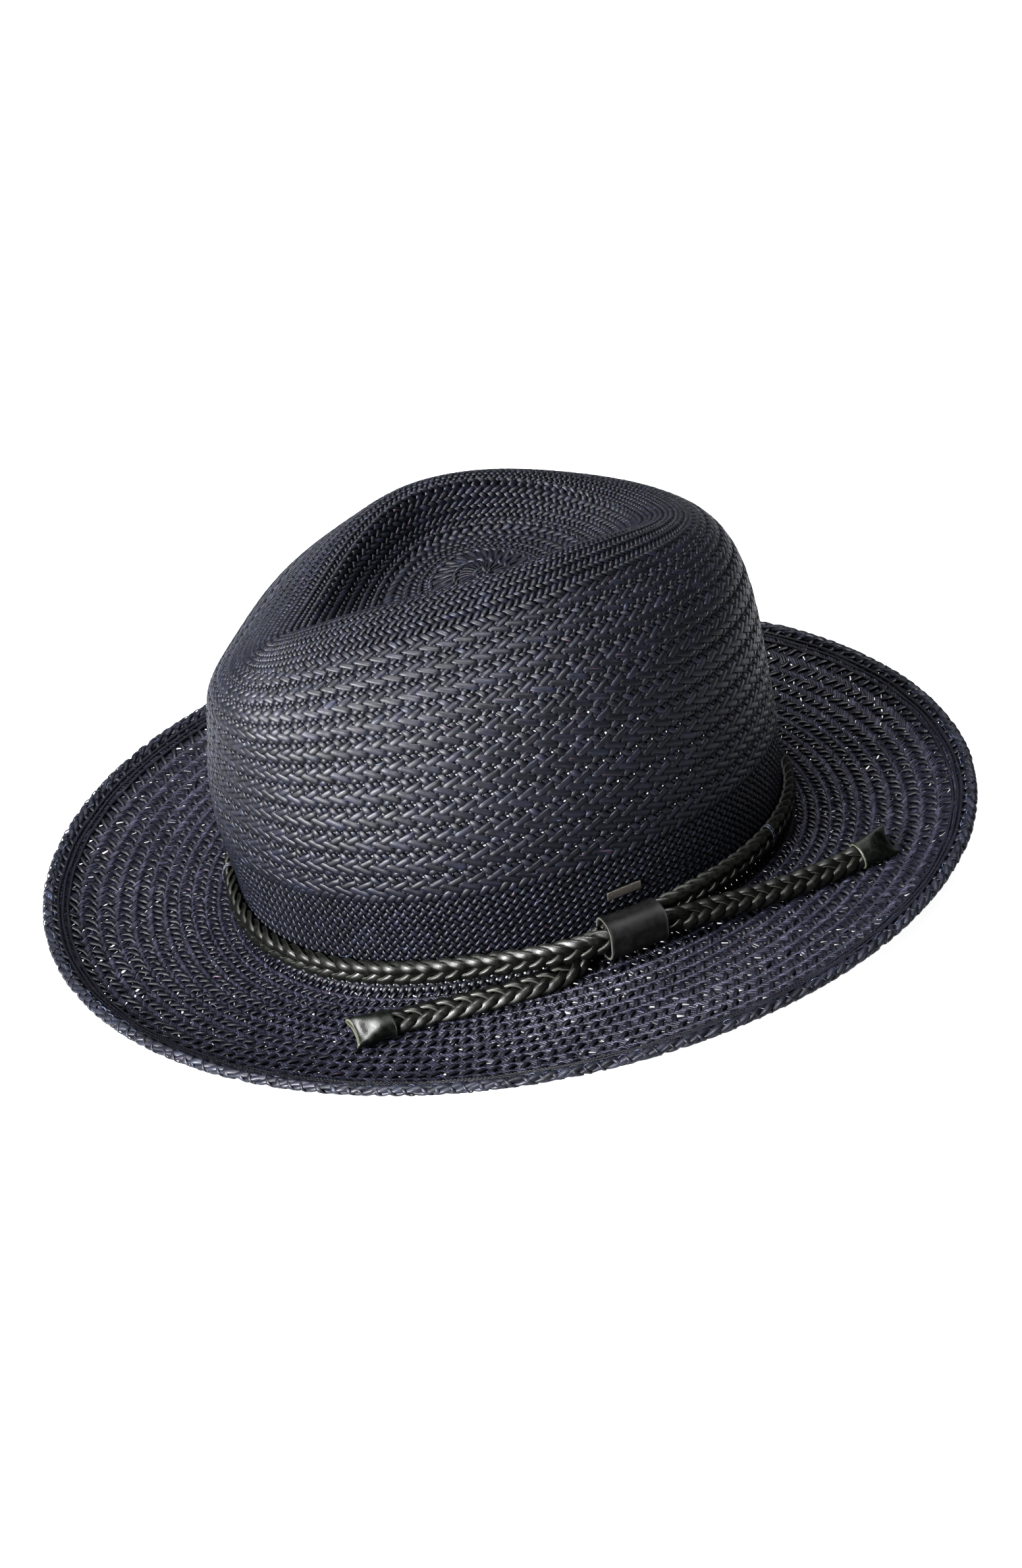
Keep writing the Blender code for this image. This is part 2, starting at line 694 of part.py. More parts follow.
navy_straw = material("navy_straw", (0.020, 0.027, 0.052), 0.45)
navy_edge = material("navy_edge", (0.017, 0.023, 0.045), 0.45)
sweat_leather = material("sweat_leather", (0.012, 0.012, 0.014), 0.55)
reed_plastic = material("reed_plastic", (0.030, 0.030, 0.032), 0.35)
dark_thread = material("dark_thread", (0.010, 0.011, 0.016), 0.7)
ribbon = material("ribbon", (0.012, 0.013, 0.020), 0.5)
label_tape = material("label_tape", (0.035, 0.036, 0.040), 0.8)
black_leather = material("black_leather", (0.010, 0.011, 0.009), 0.28)
tip_leather = material("tip_leather", (0.012, 0.013, 0.011), 0.2)
keeper_leather = material("keeper_leather", (0.008, 0.008, 0.010), 0.5)
gunmetal = material("gunmetal", (0.10, 0.10, 0.105), 0.35, metallic=1.0)

CAGE = body_cage()
WALL_ROWS = (len(CROWN) - 4.0, len(CROWN) + 0.6)
SWEAT_BOTTOM = -0.0040
RADIUS_BY_KEEPER = keeper_axis()[1]
KEEPER_HALF = KEEPER_LENGTH / 2 / RADIUS_BY_KEEPER
KEEPER_HOLD = KEEPER_HALF + KEEPER_TRAVEL

make_straw_body()
make_edge_braid()
make_sweatband()
make_reed()
make_stitching()
make_bow()
make_size_label()
make_band_braid()
for tail, route, ending, lean in (("front", FRONT_TAIL, -KEEPER_HALF, FRONT_LEAN),
                                  ("rear", REAR_TAIL, 2 * math.pi + KEEPER_HALF, REAR_LEAN)):
    make_tail(tail + "_tail", route, ending, lean)
    make_tip(tail + "_tip", route, ending, lean)
make_keeper()
make_side_plate()
make_plate_clip()
for tack_name, tack_angle in TACK_ANGLES.items():
    make_tack(f"band_tack_{tack_name}", math.radians(tack_angle))
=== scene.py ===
# %% [markdown]
# # A braided straw fedora, built the way the real one is
# The CAD model gives the hat's pieces, their places and the one joint (the keeper slides along the
# band).  This script keeps that frame and puts the real surfaces round it: some fifteen hundred
# paper straws woven over and under each other, laces plaited into a band, folded leather, a bow.
# Metres, +Z up.  The front of the hat looks along -Y, the wearer's left is +X.

# %% Load the frame
import math

import bpy
import numpy as np
from mathutils import Matrix, Vector


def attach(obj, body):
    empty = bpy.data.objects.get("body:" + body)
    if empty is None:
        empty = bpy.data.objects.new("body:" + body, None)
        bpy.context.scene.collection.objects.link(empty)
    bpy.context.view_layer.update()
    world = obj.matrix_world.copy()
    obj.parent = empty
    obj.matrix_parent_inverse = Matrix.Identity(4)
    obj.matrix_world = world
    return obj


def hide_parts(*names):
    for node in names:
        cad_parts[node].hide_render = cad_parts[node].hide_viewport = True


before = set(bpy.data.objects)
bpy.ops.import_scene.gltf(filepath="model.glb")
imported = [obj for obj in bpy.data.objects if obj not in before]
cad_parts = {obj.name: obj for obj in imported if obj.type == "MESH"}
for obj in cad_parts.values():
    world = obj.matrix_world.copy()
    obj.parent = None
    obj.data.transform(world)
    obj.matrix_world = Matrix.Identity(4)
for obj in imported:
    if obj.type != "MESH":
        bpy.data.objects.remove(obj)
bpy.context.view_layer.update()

MM = 0.001
TURN = 2 * math.pi

# %% [markdown]
# ## Camera, floor and light
# The camera stands off the wearer's left, a little ahead of the hat and above it, far away with a
# long lens, so the brim's oval is barely tapered.  It is rolled a few degrees, as a hand-held
# camera is.  The hat stands on a photographer's light table, a sheet that glows evenly.  A low
# soft source to the camera's left draws the sheen on the straw; two from above fill the crown's
# hollow; weak ones behind and far left keep the shaded sides readable.

# %% Camera
CAMERA_AZIMUTH = math.radians(58)       # 0 looks along +Y
CAMERA_HEIGHT = math.radians(31.8)      # above the horizon
CAMERA_ROLL = math.radians(-5.6)
CAMERA_DISTANCE = 1.5
BAND_LEVEL = 16.7 * MM                  # the braid's middle line over the table

back = np.array([math.sin(CAMERA_AZIMUTH) * math.cos(CAMERA_HEIGHT),
                 -math.cos(CAMERA_AZIMUTH) * math.cos(CAMERA_HEIGHT), math.sin(CAMERA_HEIGHT)])
level_right = np.array([math.cos(CAMERA_AZIMUTH), math.sin(CAMERA_AZIMUTH), 0.0])
level_up = np.cross(back, level_right)
right = math.cos(CAMERA_ROLL) * level_right + math.sin(CAMERA_ROLL) * level_up
up = np.cross(back, right)

lens = bpy.data.cameras.new("camera")
lens.lens = 95.5
lens.shift_y = 0.0221
camera = bpy.data.objects.new("camera", lens)
bpy.context.scene.collection.objects.link(camera)
placed = Matrix.Identity(4)
for axis, direction in enumerate((right, up, back)):
    for row in range(3):
        placed[row][axis] = direction[row]
aim = np.array([0, 0, BAND_LEVEL])
placed.translation = Vector(aim + CAMERA_DISTANCE * back)
camera.matrix_world = placed
bpy.context.scene.camera = camera
print("camera at", [round(x, 3) for x in placed.translation])


# %% Colours and nodes
def linear(colour):
    """An sRGB hex colour as linear red, green, blue and alpha."""
    share = np.array([int(colour[i:i + 2], 16) for i in (1, 3, 5)]) / 255
    share = np.where(share <= 0.04045, share / 12.92, ((share + 0.055) / 1.055) ** 2.4)
    return (*share.tolist(), 1.0)


def add(tree, kind, feeds=None, stops=None, **settings):
    """Add a node, set its properties, link or fill its inputs, and lay out a ramp's stops."""
    node = tree.nodes.new("ShaderNode" + kind)
    for key, value in settings.items():
        setattr(node, key, value)
    for key, value in (feeds or {}).items():
        if isinstance(value, bpy.types.NodeSocket):
            tree.links.new(value, node.inputs[key])
        else:
            node.inputs[key].default_value = value
    for index, (place, colour) in enumerate(stops or []):
        ramp = node.color_ramp.elements
        stop = ramp[index] if index < 2 else ramp.new(place)
        stop.position = place
        stop.color = linear(colour) if isinstance(colour, str) else (colour, colour, colour, 1)
    return node


def new_finish(name, **shader_values):
    """A material with its shader's uniform values set; returns it, its tree and its shader."""
    made = bpy.data.materials.new(name)
    made.use_nodes = True
    shader = made.node_tree.nodes["Principled BSDF"]
    for key, value in shader_values.items():
        shader.inputs[key.replace("_", " ")].default_value = value
    return made, made.node_tree, shader


def coat(tree, shader, colour, rough=None, height=None, strength=0.5, depth=0.1 * MM):
    """Join a finish to its shader: its colour, its roughness and its fine relief."""
    tree.links.new(colour, shader.inputs["Base Color"])
    if rough is not None:
        tree.links.new(rough, shader.inputs["Roughness"])
    if height is not None:
        bump = add(tree, "Bump", {"Height": height, "Strength": strength, "Distance": depth})
        tree.links.new(bump.outputs["Normal"], shader.inputs["Normal"])


# %% Floor and lights
FLOOR_GLOW = 0.66                       # the sheet is lit evenly from below, like a light table


def paper_floor():
    """Matt white paper: the faintest mottling, so that it isn't one flat value."""
    made, tree, shader = new_finish("matt_paper_sheet", Roughness=0.9,
                                    Emission_Color=(1, 1, 1, 1), Emission_Strength=FLOOR_GLOW)
    place = add(tree, "TexCoord")
    mottle = add(tree, "TexNoise", {"Vector": place.outputs["Object"], "Scale": 3.0})
    tint = add(tree, "ValToRGB", {"Fac": mottle.outputs["Fac"]},
               stops=[(0.3, "#7c7c7c"), (0.7, "#828282")])
    coat(tree, shader, tint.outputs["Color"])
    return made


def soft_light(name, azimuth, height, distance, size, power):
    """A square soft source that looks at the hat from an azimuth and a height in degrees."""
    turn, rise = math.radians(azimuth), math.radians(height)
    away = Vector((math.sin(turn) * math.cos(rise), -math.cos(turn) * math.cos(rise),
                   math.sin(rise)))
    lamp = bpy.data.lights.new(name, "AREA")
    lamp.shape = "SQUARE"
    lamp.size = size
    lamp.energy = power
    item = bpy.data.objects.new(name, lamp)
    bpy.context.scene.collection.objects.link(item)
    item.location = Vector((0, 0, 0.05)) + away * distance
    item.visible_camera = False
    item.rotation_mode = "QUATERNION"
    item.rotation_quaternion = away.to_track_quat("Z", "Y")


FLOOR_HALF = 4.0
FLOOR_LEVEL = -0.4 * MM
floor_mesh = bpy.data.meshes.new("floor")
floor_mesh.from_pydata([(x * FLOOR_HALF, y * FLOOR_HALF, FLOOR_LEVEL)
                        for x, y in ((-1, -1), (1, -1), (1, 1), (-1, 1))], [], [(0, 1, 2, 3)])
floor_mesh.materials.append(paper_floor())
floor = bpy.data.objects.new("floor", floor_mesh)
bpy.context.scene.collection.objects.link(floor)

sky = bpy.data.worlds.new("studio")
sky.use_nodes = True
dome = sky.node_tree.nodes["Background"]
dome.inputs["Color"].default_value = (1, 1, 1, 1)
dome.inputs["Strength"].default_value = 0.05    # dark: a bright one would grey the black dye
bpy.context.scene.world = sky
bpy.context.scene.view_settings.view_transform = "Standard"
bpy.context.scene.view_settings.look = "High Contrast"

# name, azimuth and height in degrees, distance and size in metres, power in watts
LIGHTS = [("key", 17, 20, 1.5, 0.7, 130), ("overhead", 0, 90, 2.4, 3.0, 54),
          ("high", 55, 76, 1.5, 0.6, 42), ("back", 228, 46, 1.7, 1.0, 6),
          ("fill", -75, 40, 1.8, 0.9, 2)]
for light in LIGHTS:
    soft_light(*light)
print(len(LIGHTS), "soft lights")

# %% [markdown]
# ## The hat's own surface
# Every straw, and everything that touches the straw, follows one surface: an oval head, a crown
# with a teardrop crease and two pinches, and a brim that sways.  The CAD model rounds a cage of
# rings; a uniform cubic curve through the same rings gives the same surface, but one that can be
# read at any angle round the hat and any row down it, for whole arrays of points at once.

# %% The cage of rings
HEAD_HALF_LENGTH = 102.1 * MM
HEAD_HALF_WIDTH = 86.1 * MM
CROWN_HEIGHT = 120.0 * MM
BRIM_WIDTH = 72.3 * MM
BRIM_WIDTH_SIDE = 69.6 * MM
SADDLE = 4.8 * MM                       # the band stands this much higher at the sides
BRIM_TIP = 1.0 * MM
STRAW = 1.4 * MM                        # two straws, one over the other
GAP = 0.3 * MM
SLACK = 0.1 * MM                        # added where a piece lies on the straw
COLUMNS = 28

# front, back, side: shares of the head oval; heights at the front, side and back: shares of the
# crown; taper narrows the ring to a teardrop; pinch presses it in beside the front
CROWN = [(0.199, 0.162, 0.196, 0.832, 0.843, 0.834, 0.05, 0),
         (0.412, 0.359, 0.323, 0.812, 0.852, 0.822, 0.29, 0),
         (0.619, 0.525, 0.375, 0.855, 0.950, 0.837, 0.64, 0),
         (0.813, 0.658, 0.424, 0.927, 1.054, 0.852, 0.95, 0),
         (0.998, 0.821, 0.581, 0.848, 0.943, 0.834, 0.34, 0.046),
         (1.091, 0.934, 0.784, 0.746, 0.833, 0.743, 0.04, 0.092),
         (1.073, 0.967, 0.923, 0.609, 0.680, 0.597, 0.02, 0.080),
         (1.085, 0.978, 0.995, 0.408, 0.450, 0.400, 0, 0.035),
         (1.061, 1.002, 1.024, 0.217, 0.242, 0.217, 0, 0),
         (1.010, 1.008, 1.010, 0.070, 0.070, 0.070, 0, 0)]
# share of the brim's width, depth under the band line in metres, share of the saddle
BRIM = [(0.000, -0.0058, 1.00), (0.055, -0.0112, 1.00), (0.250, -0.0122, 0.85),
        (0.550, -0.0118, 0.60), (0.790, -0.0092, 0.40), (0.945, -0.0048, 0.28)]
BUTTON_HEIGHT = 0.850
BUTTON_PLACE = -1.5 * MM
GROW = 3 / (2 + math.cos(TURN / COLUMNS))   # the curve runs inside its cage by this much


def crown_ring(ring, angle):
    """x, y, z of a ring of the crown: an oval, narrowed ahead and pinched beside the front."""
    ahead_share, back_share, side_share, high_front, high_side, high_back, taper, pinch = ring
    cosine, sine = np.cos(angle), np.sin(angle)
    ahead, behind = np.clip(-sine, 0, None), np.clip(sine, 0, None)
    centre, half = (back_share - ahead_share) / 2, (back_share + ahead_share) / 2
    from_front = np.degrees(np.arctan2(sine, np.abs(cosine)))
    press = pinch * np.exp(-((from_front + 48) / 24) ** 2)
    side = np.abs(cosine) * side_share * (1 - taper * ahead ** 1.5)
    side = side - press * np.minimum(1, 2 * np.abs(cosine))
    high = high_side + (high_front - high_side) * ahead ** 1.5 + (high_back - high_side) * behind ** 2
    x = HEAD_HALF_WIDTH * GROW * side * np.sign(cosine)
    y = HEAD_HALF_LENGTH * GROW * (centre + half * sine + 0.25 * press)
    low = np.clip(1 - high / 0.30, 0, 1)
    return np.stack([x, y, CROWN_HEIGHT * high + SADDLE * low * np.cos(2 * angle)], -1)


def brim_ring(share, depth, sway, angle):
    """x, y, z of a ring of the brim: the head oval moved outward, tipped and saddled."""
    cosine, sine = np.cos(angle), np.sin(angle)
    x = GROW * (HEAD_HALF_WIDTH + share * BRIM_WIDTH_SIDE) * cosine
    y = GROW * (HEAD_HALF_LENGTH + share * BRIM_WIDTH) * sine
    z = depth + SADDLE * sway * np.cos(2 * angle) + BRIM_TIP * share ** 2 * (cosine - sine)
    return np.stack([x, y, z], -1)


def body_cage():
    """The rings from the pole to the brim's edge, with one more beyond each end.

    Across the pole the first ring is met again from its other side; past the edge the last step
    is repeated, so the surface ends just on the last ring.
    """
    angle = np.arange(COLUMNS) * TURN / COLUMNS
    rings = [crown_ring(ring, angle) for ring in CROWN]
    rings += [brim_ring(*ring, angle) for ring in BRIM]
    pole = np.tile([0.0, BUTTON_PLACE, CROWN_HEIGHT * BUTTON_HEIGHT], (COLUMNS, 1))
    over_pole = np.roll(rings[0], COLUMNS // 2, axis=0)
    cage = np.array([over_pole, pole, *rings, 2 * rings[-1] - rings[-2]])
    cage[..., 2] += BAND_LEVEL
    return cage


CAGE = body_cage()
POLE_ROW = 1.0
EDGE_ROW = len(CAGE) - 2.0


# %% Read the surface anywhere
def curve_weights(share):
    """The four weights of a uniform cubic curve, for an array of shares of a step."""
    return [(1 - share) ** 3 / 6, (3 * share ** 3 - 6 * share ** 2 + 4) / 6,
            (-3 * share ** 3 + 3 * share ** 2 + 3 * share + 1) / 6, share ** 3 / 6]


def surface(angle, row):
    """Points of the straw's middle surface: a weighted mean of the sixteen nearest corners."""
    angle, row = np.broadcast_arrays(np.asarray(angle, float), np.asarray(row, float))
    place = angle / TURN * COLUMNS
    column = np.floor(place).astype(int)
    first = np.clip(np.floor(row).astype(int), 1, len(CAGE) - 3)
    round_weights, down_weights = curve_weights(place - column), curve_weights(row - first)
    point = np.zeros(angle.shape + (3,))
    for down in range(4):
        for side in range(4):
            corner = CAGE[first - 1 + down, (column - 1 + side) % COLUMNS]
            point += (down_weights[down] * round_weights[side])[..., None] * corner
    return point


def unit(vector):
    return vector / np.maximum(np.linalg.norm(vector, axis=-1, keepdims=True), 1e-12)


def surface_normal(angle, row):
    """The way out of the hat: the step round the hat crossed with the step up it."""
    row = np.clip(row, POLE_ROW + 0.02, EDGE_ROW - 0.02)
    ahead = surface(angle + 0.01, row) - surface(angle - 0.01, row)
    upward = surface(angle, row - 0.01) - surface(angle, row + 0.01)
    return unit(np.cross(ahead, upward))


WALL_ROWS = (8.0, 12.6)                 # the rows between which the crown's wall is searched


def wall(angle, level, out=0.0):
    """Points beside the crown's wall, at a height over the band's line there.

    The row is found by halving a span of rows 40 times; then the point steps outward, level.
    """
    angle, level, out = np.broadcast_arrays(*(np.asarray(x, float) for x in (angle, level, out)))
    wanted = BAND_LEVEL + SADDLE * np.cos(2 * angle) + level
    low, high = np.full(angle.shape, WALL_ROWS[0]), np.full(angle.shape, WALL_ROWS[1])
    for _ in range(40):
        middle = (low + high) / 2
        above = surface(angle, middle)[..., 2] > wanted
        low, high = np.where(above, middle, low), np.where(above, high, middle)
    ahead = surface(angle + 0.01, low) - surface(angle - 0.01, low)
    outward = unit(np.stack([ahead[..., 1], -ahead[..., 0], 0 * low], -1))
    return surface(angle, low) + out[..., None] * outward


def wall_axes(angle, level, out):
    """The directions along the wall, up it and out of it."""
    along = unit(wall(angle + 0.02, level, out) - wall(angle - 0.02, level, out))
    outward = unit(np.cross(along, [0, 0, 1.0]))
    return along, np.cross(outward, along), outward


print("edge of the brim, front and left, in mm",
      np.round(surface(np.radians([-90, 0]), EDGE_ROW) / MM, 1).tolist())

# %% [markdown]
# ## Carrying a section along paths
# Straw, lace, thread and cord are all the same idea: a small closed outline carried along a
# middle line.  One helper does it for a whole family of strands at once.  It also stores, on each
# corner, how far along its strand it lies, how far across, and a number of the strand's own, so
# that fibres and grain run along every strand and no two strands are quite alike.


# %% Strands from middle lines
def put_mesh(name, corners, quads, ends=(), strand=None):
    """A mesh from arrays of corners, of four-sided faces and of closing faces, shaded smooth."""
    mesh = bpy.data.meshes.new(name)
    mesh.vertices.add(len(corners))
    mesh.vertices.foreach_set("co", np.asarray(corners, np.float32).ravel())
    sides = np.concatenate([np.full(len(quads), 4)] + [np.full(len(e), e.shape[1]) for e in ends])
    order = np.concatenate([quads.ravel()] + [e.ravel() for e in ends])
    mesh.loops.add(len(order))
    mesh.loops.foreach_set("vertex_index", order.astype(np.int32))
    mesh.polygons.add(len(sides))
    starts = np.concatenate([[0], np.cumsum(sides)[:-1]])
    mesh.polygons.foreach_set("loop_start", starts.astype(np.int32))
    mesh.update(calc_edges=True)
    mesh.validate()
    mesh.shade_smooth()
    if strand is not None:
        layer = mesh.attributes.new("strand", "FLOAT_VECTOR", "POINT")
        layer.data.foreach_set("vector", np.asarray(strand, np.float32).ravel())
    item = bpy.data.objects.new(name, mesh)
    bpy.context.scene.collection.objects.link(item)
    return item


def tube_faces(strands, stations, points, closed):
    """The faces of many tubes: each joins two neighbouring stations and section points."""
    station = np.arange(stations if closed else stations - 1)[:, None]
    point = np.arange(points)[None, :]
    following, beside = (station + 1) % stations, (point + 1) % points
    quads = np.stack([station * points + point, station * points + beside,
                      following * points + beside, following * points + point], -1).reshape(-1, 4)
    starts = np.arange(strands)[:, None, None] * stations * points
    quads = (quads[None] + starts).reshape(-1, 4)
    if closed:
        return quads, ()
    first = (np.arange(points)[::-1] + starts[:, 0]).reshape(strands, points)
    last = (np.arange(points) + (stations - 1) * points + starts[:, 0]).reshape(strands, points)
    return quads, (first, last)


def strands(name, centre, normal, across, rise, closed=False, seeds=None):
    """Strands of one family as one mesh.

    centre is (strand, station, 3) and normal the way out of the work there.  across and rise are
    the section's points, sideways and outward, and may change with the strand and the station.
    A corner is centre + side * across + normal * rise, where side = normal x direction.
    """
    if closed:
        direction = unit(np.roll(centre, -1, 1) - np.roll(centre, 1, 1))
    else:
        direction = unit(np.gradient(centre, axis=1))
    side = unit(np.cross(normal, direction))
    facing = np.cross(direction, side)
    shape = centre.shape[:2] + (across.shape[-1],)
    across, rise = np.broadcast_to(across, shape), np.broadcast_to(rise, shape)
    corners = (centre[:, :, None] + side[:, :, None] * across[..., None]
               + facing[:, :, None] * rise[..., None])
    steps = np.linalg.norm(np.diff(centre, axis=1), axis=-1)
    along = np.concatenate([np.zeros((len(centre), 1)), np.cumsum(steps, 1)], 1)
    seeds = np.arange(len(centre)) * 0.618 % 1 if seeds is None else seeds
    strand = np.stack([np.broadcast_to(along[..., None], shape), across,
                       np.broadcast_to(np.asarray(seeds)[:, None, None], shape)], -1)
    quads, ends = tube_faces(*shape, closed)
    return put_mesh(name, corners.reshape(-1, 3), quads, ends, strand.reshape(-1, 3))


def oval(width, height, points, square=2.0):
    """A section: an oval whose corners fill out as square grows over 2."""
    turn = TURN * (np.arange(points) + 0.5) / points
    power = 2 / square
    across = width / 2 * np.sign(np.cos(turn)) * np.abs(np.cos(turn)) ** power
    rise = height / 2 * np.sign(np.sin(turn)) * np.abs(np.sin(turn)) ** power
    return across, rise


def dress(item, finish, body="hat", replaces=()):
    """Give a finished piece its material, let it ride on its body, and hide the CAD parts it
    replaces.
    """
    item.data.materials.clear()
    item.data.materials.append(finish)
    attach(item, body)
    if replaces:
        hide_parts(*replaces)
    faces = np.zeros(len(item.data.polygons), int)
    item.data.polygons.foreach_get("loop_total", faces)
    print(f"{item.name}: {int((faces - 2).sum())} triangles")
    return item


# %% [markdown]
# ## The plaited band and its two free ends
# The band is one plait of five flat leather laces, about 8 mm wide and two laces thick.  Each
# lace swings from edge to edge: over the others on its way out, under them on its way back.
# As a formula: across = A sin(p), out = B sin(2p), with the five laces a fifth of a turn apart.
# The lace leans over as it rounds the edge.  The plait runs once round the crown, crosses itself
# inside the keeper, and its two ends lie loose on the brim.  Those ends are its only cords.

# %% Plaited leather lace
BRAID_WIDTH = 8.4 * MM
BRAID_THICK = 4.6 * MM
PLAIT_WIDTH = 9.0 * MM                  # over the lobes, which stand a little proud
LACES = 5
LACE_WIDTH = 3.3 * MM
LACE_THICK = 1.9 * MM
LOBE_PITCH = 5.9 * MM                   # from one lobe of the plait's edge to the next
LACE_LEAN = math.radians(30)
LACE_ROLL = math.radians(14)            # each lobe's leading side is tucked under the next
LACE_STEP = 0.75 * MM


def resample(line, step):
    """Points at even steps along a line of points."""
    run = np.concatenate([[0], np.cumsum(np.linalg.norm(np.diff(line, axis=0), axis=1))])
    at = np.linspace(0, run[-1], max(3, round(run[-1] / step) + 1))
    return np.stack([np.interp(at, run, line[:, axis]) for axis in range(3)], -1), at


def plait(name, line, face, heading, closing=0.0):
    """Five laces plaited about a line of points.

    face is the way that the plait's broad side looks at each point.  heading is +1 where the
    chevrons open along the line and -1 where they point along it.  closing draws the plait in
    towards its last points, where a fitting grips it.
    """
    centre, run = resample(line, LACE_STEP)
    share = np.linspace(0, 1, len(centre)) * (len(face) - 1)
    low = np.minimum(share.astype(int), len(face) - 2)
    blend = (share - low)[:, None]
    face = unit(face[low] * (1 - blend) + face[low + 1] * blend)
    direction = unit(np.gradient(centre, axis=0))
    wide = unit(np.cross(face, direction))
    out = np.cross(direction, wide)
    lace = np.arange(LACES)[:, None]
    phase = heading * TURN * (run[None, :] / (LACES * LOBE_PITCH)) + lace * TURN / LACES
    tighten = 1 - closing * np.clip(1 - (run[-1] - run) / (9 * MM), 0, 1)
    swing = (PLAIT_WIDTH - LACE_WIDTH * 0.95) / 2 * tighten
    wander = 0.08 * np.sin(run / (11 * MM) + 2.1 * lace) + 0.05 * np.sin(run / (4.3 * MM) + lace)
    sideways = swing * np.sin(phase + wander) + 0.10 * MM * np.sin(run / (16 * MM))
    depth = (BRAID_THICK - LACE_THICK) / 2 * tighten * np.sin(2 * (phase + wander))
    middle = (centre[None] + wide[None] * sideways[..., None] + out[None] * depth[..., None])
    lean = LACE_LEAN * np.sin(phase) + heading * LACE_ROLL * np.cos(phase) * np.sin(2 * phase)
    normal = out[None] * np.cos(lean)[..., None] + wide[None] * np.sin(lean)[..., None]
    across, rise = oval(LACE_WIDTH, LACE_THICK, 12, square=2.7)
    return strands(name, middle, normal, across, rise, seeds=np.linspace(0.1, 0.9, LACES))


def black_lace():
    """Cut cowhide lace, dyed black: small pores, a waxy shine, and paler cut sides.

    The cut sides are painted paler, partly the raw edge's own colour and partly a painted
    highlight for the thin lines of light beside each lobe; the grain breaks the shine up.
    """
    made, tree, shader = new_finish("dyed_cowhide_lace", Specular_IOR_Level=0.28)
    place = add(tree, "TexCoord")
    strand = add(tree, "Attribute", attribute_name="strand")
    split = add(tree, "SeparateXYZ", {"Vector": strand.outputs["Vector"]})
    # pores about 0.35 mm apart, creases about 2 mm
    pores = add(tree, "TexVoronoi", {"Vector": place.outputs["Object"], "Scale": 2600.0})
    crease = add(tree, "TexNoise", {"Vector": place.outputs["Object"], "Scale": 480.0,
                                    "Detail": 4.0, "Roughness": 0.65})
    side = add(tree, "Math", {0: split.outputs["Y"]}, operation="ABSOLUTE")
    # the cut sides are painted paler: partly the raw edge's own colour, partly a painted highlight
    cut = add(tree, "MapRange", {"Value": side.outputs[0], "From Min": LACE_WIDTH * 0.468,
                                 "From Max": LACE_WIDTH * 0.492})
    skin = add(tree, "ValToRGB", {"Fac": crease.outputs["Fac"]},
               stops=[(0.30, "#050505"), (0.55, "#0b0c0a"), (0.78, "#161714")])
    colour = add(tree, "Mix", {0: cut.outputs[0], 6: skin.outputs["Color"],
                               7: linear("#32332f")}, data_type="RGBA")
    gloss = add(tree, "MapRange", {"Value": crease.outputs["Fac"], "From Min": 0.3,
                                   "From Max": 0.7, "To Min": 0.33, "To Max": 0.52})
    relief = add(tree, "Math", {0: pores.outputs["Distance"], 1: 0.35, 2: crease.outputs["Fac"]},
                 operation="MULTIPLY_ADD")
    coat(tree, shader, colour.outputs[2], gloss.outputs[0], relief.outputs[0], 0.5, 0.12 * MM)
    return made


lace_finish = black_lace()

# %% Where the band runs
KEEPER_ANGLE = math.radians(-7.4)
KEEPER_LENGTH = 22.5 * MM
KEEPER_HEIGHT = 14.6 * MM
KEEPER_TRAVEL = math.radians(2.8)
LEATHER = 1.1 * MM
BRAID_CROSS = 1.1 * MM


def ease(share):
    """A share from 0 to 1 that starts and stops gently."""
    share = np.clip(share, 0, 1)
    return share * share * (3 - 2 * share)


def wall_curve(angle):
    """The wall's point and way out at an angle, and how tightly it curves there.

    The radius is half the chord to a neighbouring point over the sine of half the turn.
    """
    pair = angle + np.array([0, 0.08])
    foot = wall(pair, 0.0)
    _, _, outward = wall_axes(pair, 0.0, 0.0)
    turned = math.acos(float(np.clip(outward[0] @ outward[1], -1, 1)))
    chord = float(np.linalg.norm(foot[1] - foot[0]))
    return foot[0], outward[0], chord / (2 * math.sin(turned / 2))


keeper_foot, keeper_outward, KEEPER_RADIUS = wall_curve(KEEPER_ANGLE)
KEEPER_HALF = KEEPER_LENGTH / 2 / KEEPER_RADIUS
KEEPER_HOLD = KEEPER_HALF + KEEPER_TRAVEL


def band_place(turn):
    """The plait's middle at a turn round the hat, counted from the keeper.

    It lies on the straw, and by the keeper one end steps out over the other while each eases a
    little off level, so that they cross inside the leather.
    """
    turn = np.asarray(turn, float)
    reach = math.radians(26)
    start = ease(1 - (turn - KEEPER_HOLD) / reach)
    end = ease(1 - (TURN - KEEPER_HOLD - turn) / reach)
    rest = STRAW / 2 + GAP + BRAID_THICK / 2 + SLACK
    inner = STRAW / 2 + 2 * GAP + LEATHER + BRAID_THICK / 2 + 2 * SLACK
    outer = inner + BRAID_THICK + GAP + SLACK
    out = rest + (inner - rest) * start + (outer - rest) * end
    slope = np.tanh(np.where(turn < math.pi, turn, TURN - turn) / KEEPER_HOLD)
    level = BRAID_CROSS * slope * (start + end) * 1.3
    return wall(KEEPER_ANGLE + turn, level, out)


print("the wall's radius behind the keeper, mm:", round(KEEPER_RADIUS / MM, 1))

# %% The band
turns = np.linspace(-KEEPER_HALF * 0.9, TURN + KEEPER_HALF * 0.9, 900)
band_line = band_place(turns)
ahead = unit(np.gradient(band_line, axis=0))
band_face = unit(np.cross(ahead, [0, 0, 1.0]))
band = plait("band_plait", band_line, band_face, heading=-1)
dress(band, lace_finish, replaces=["band_braid"])

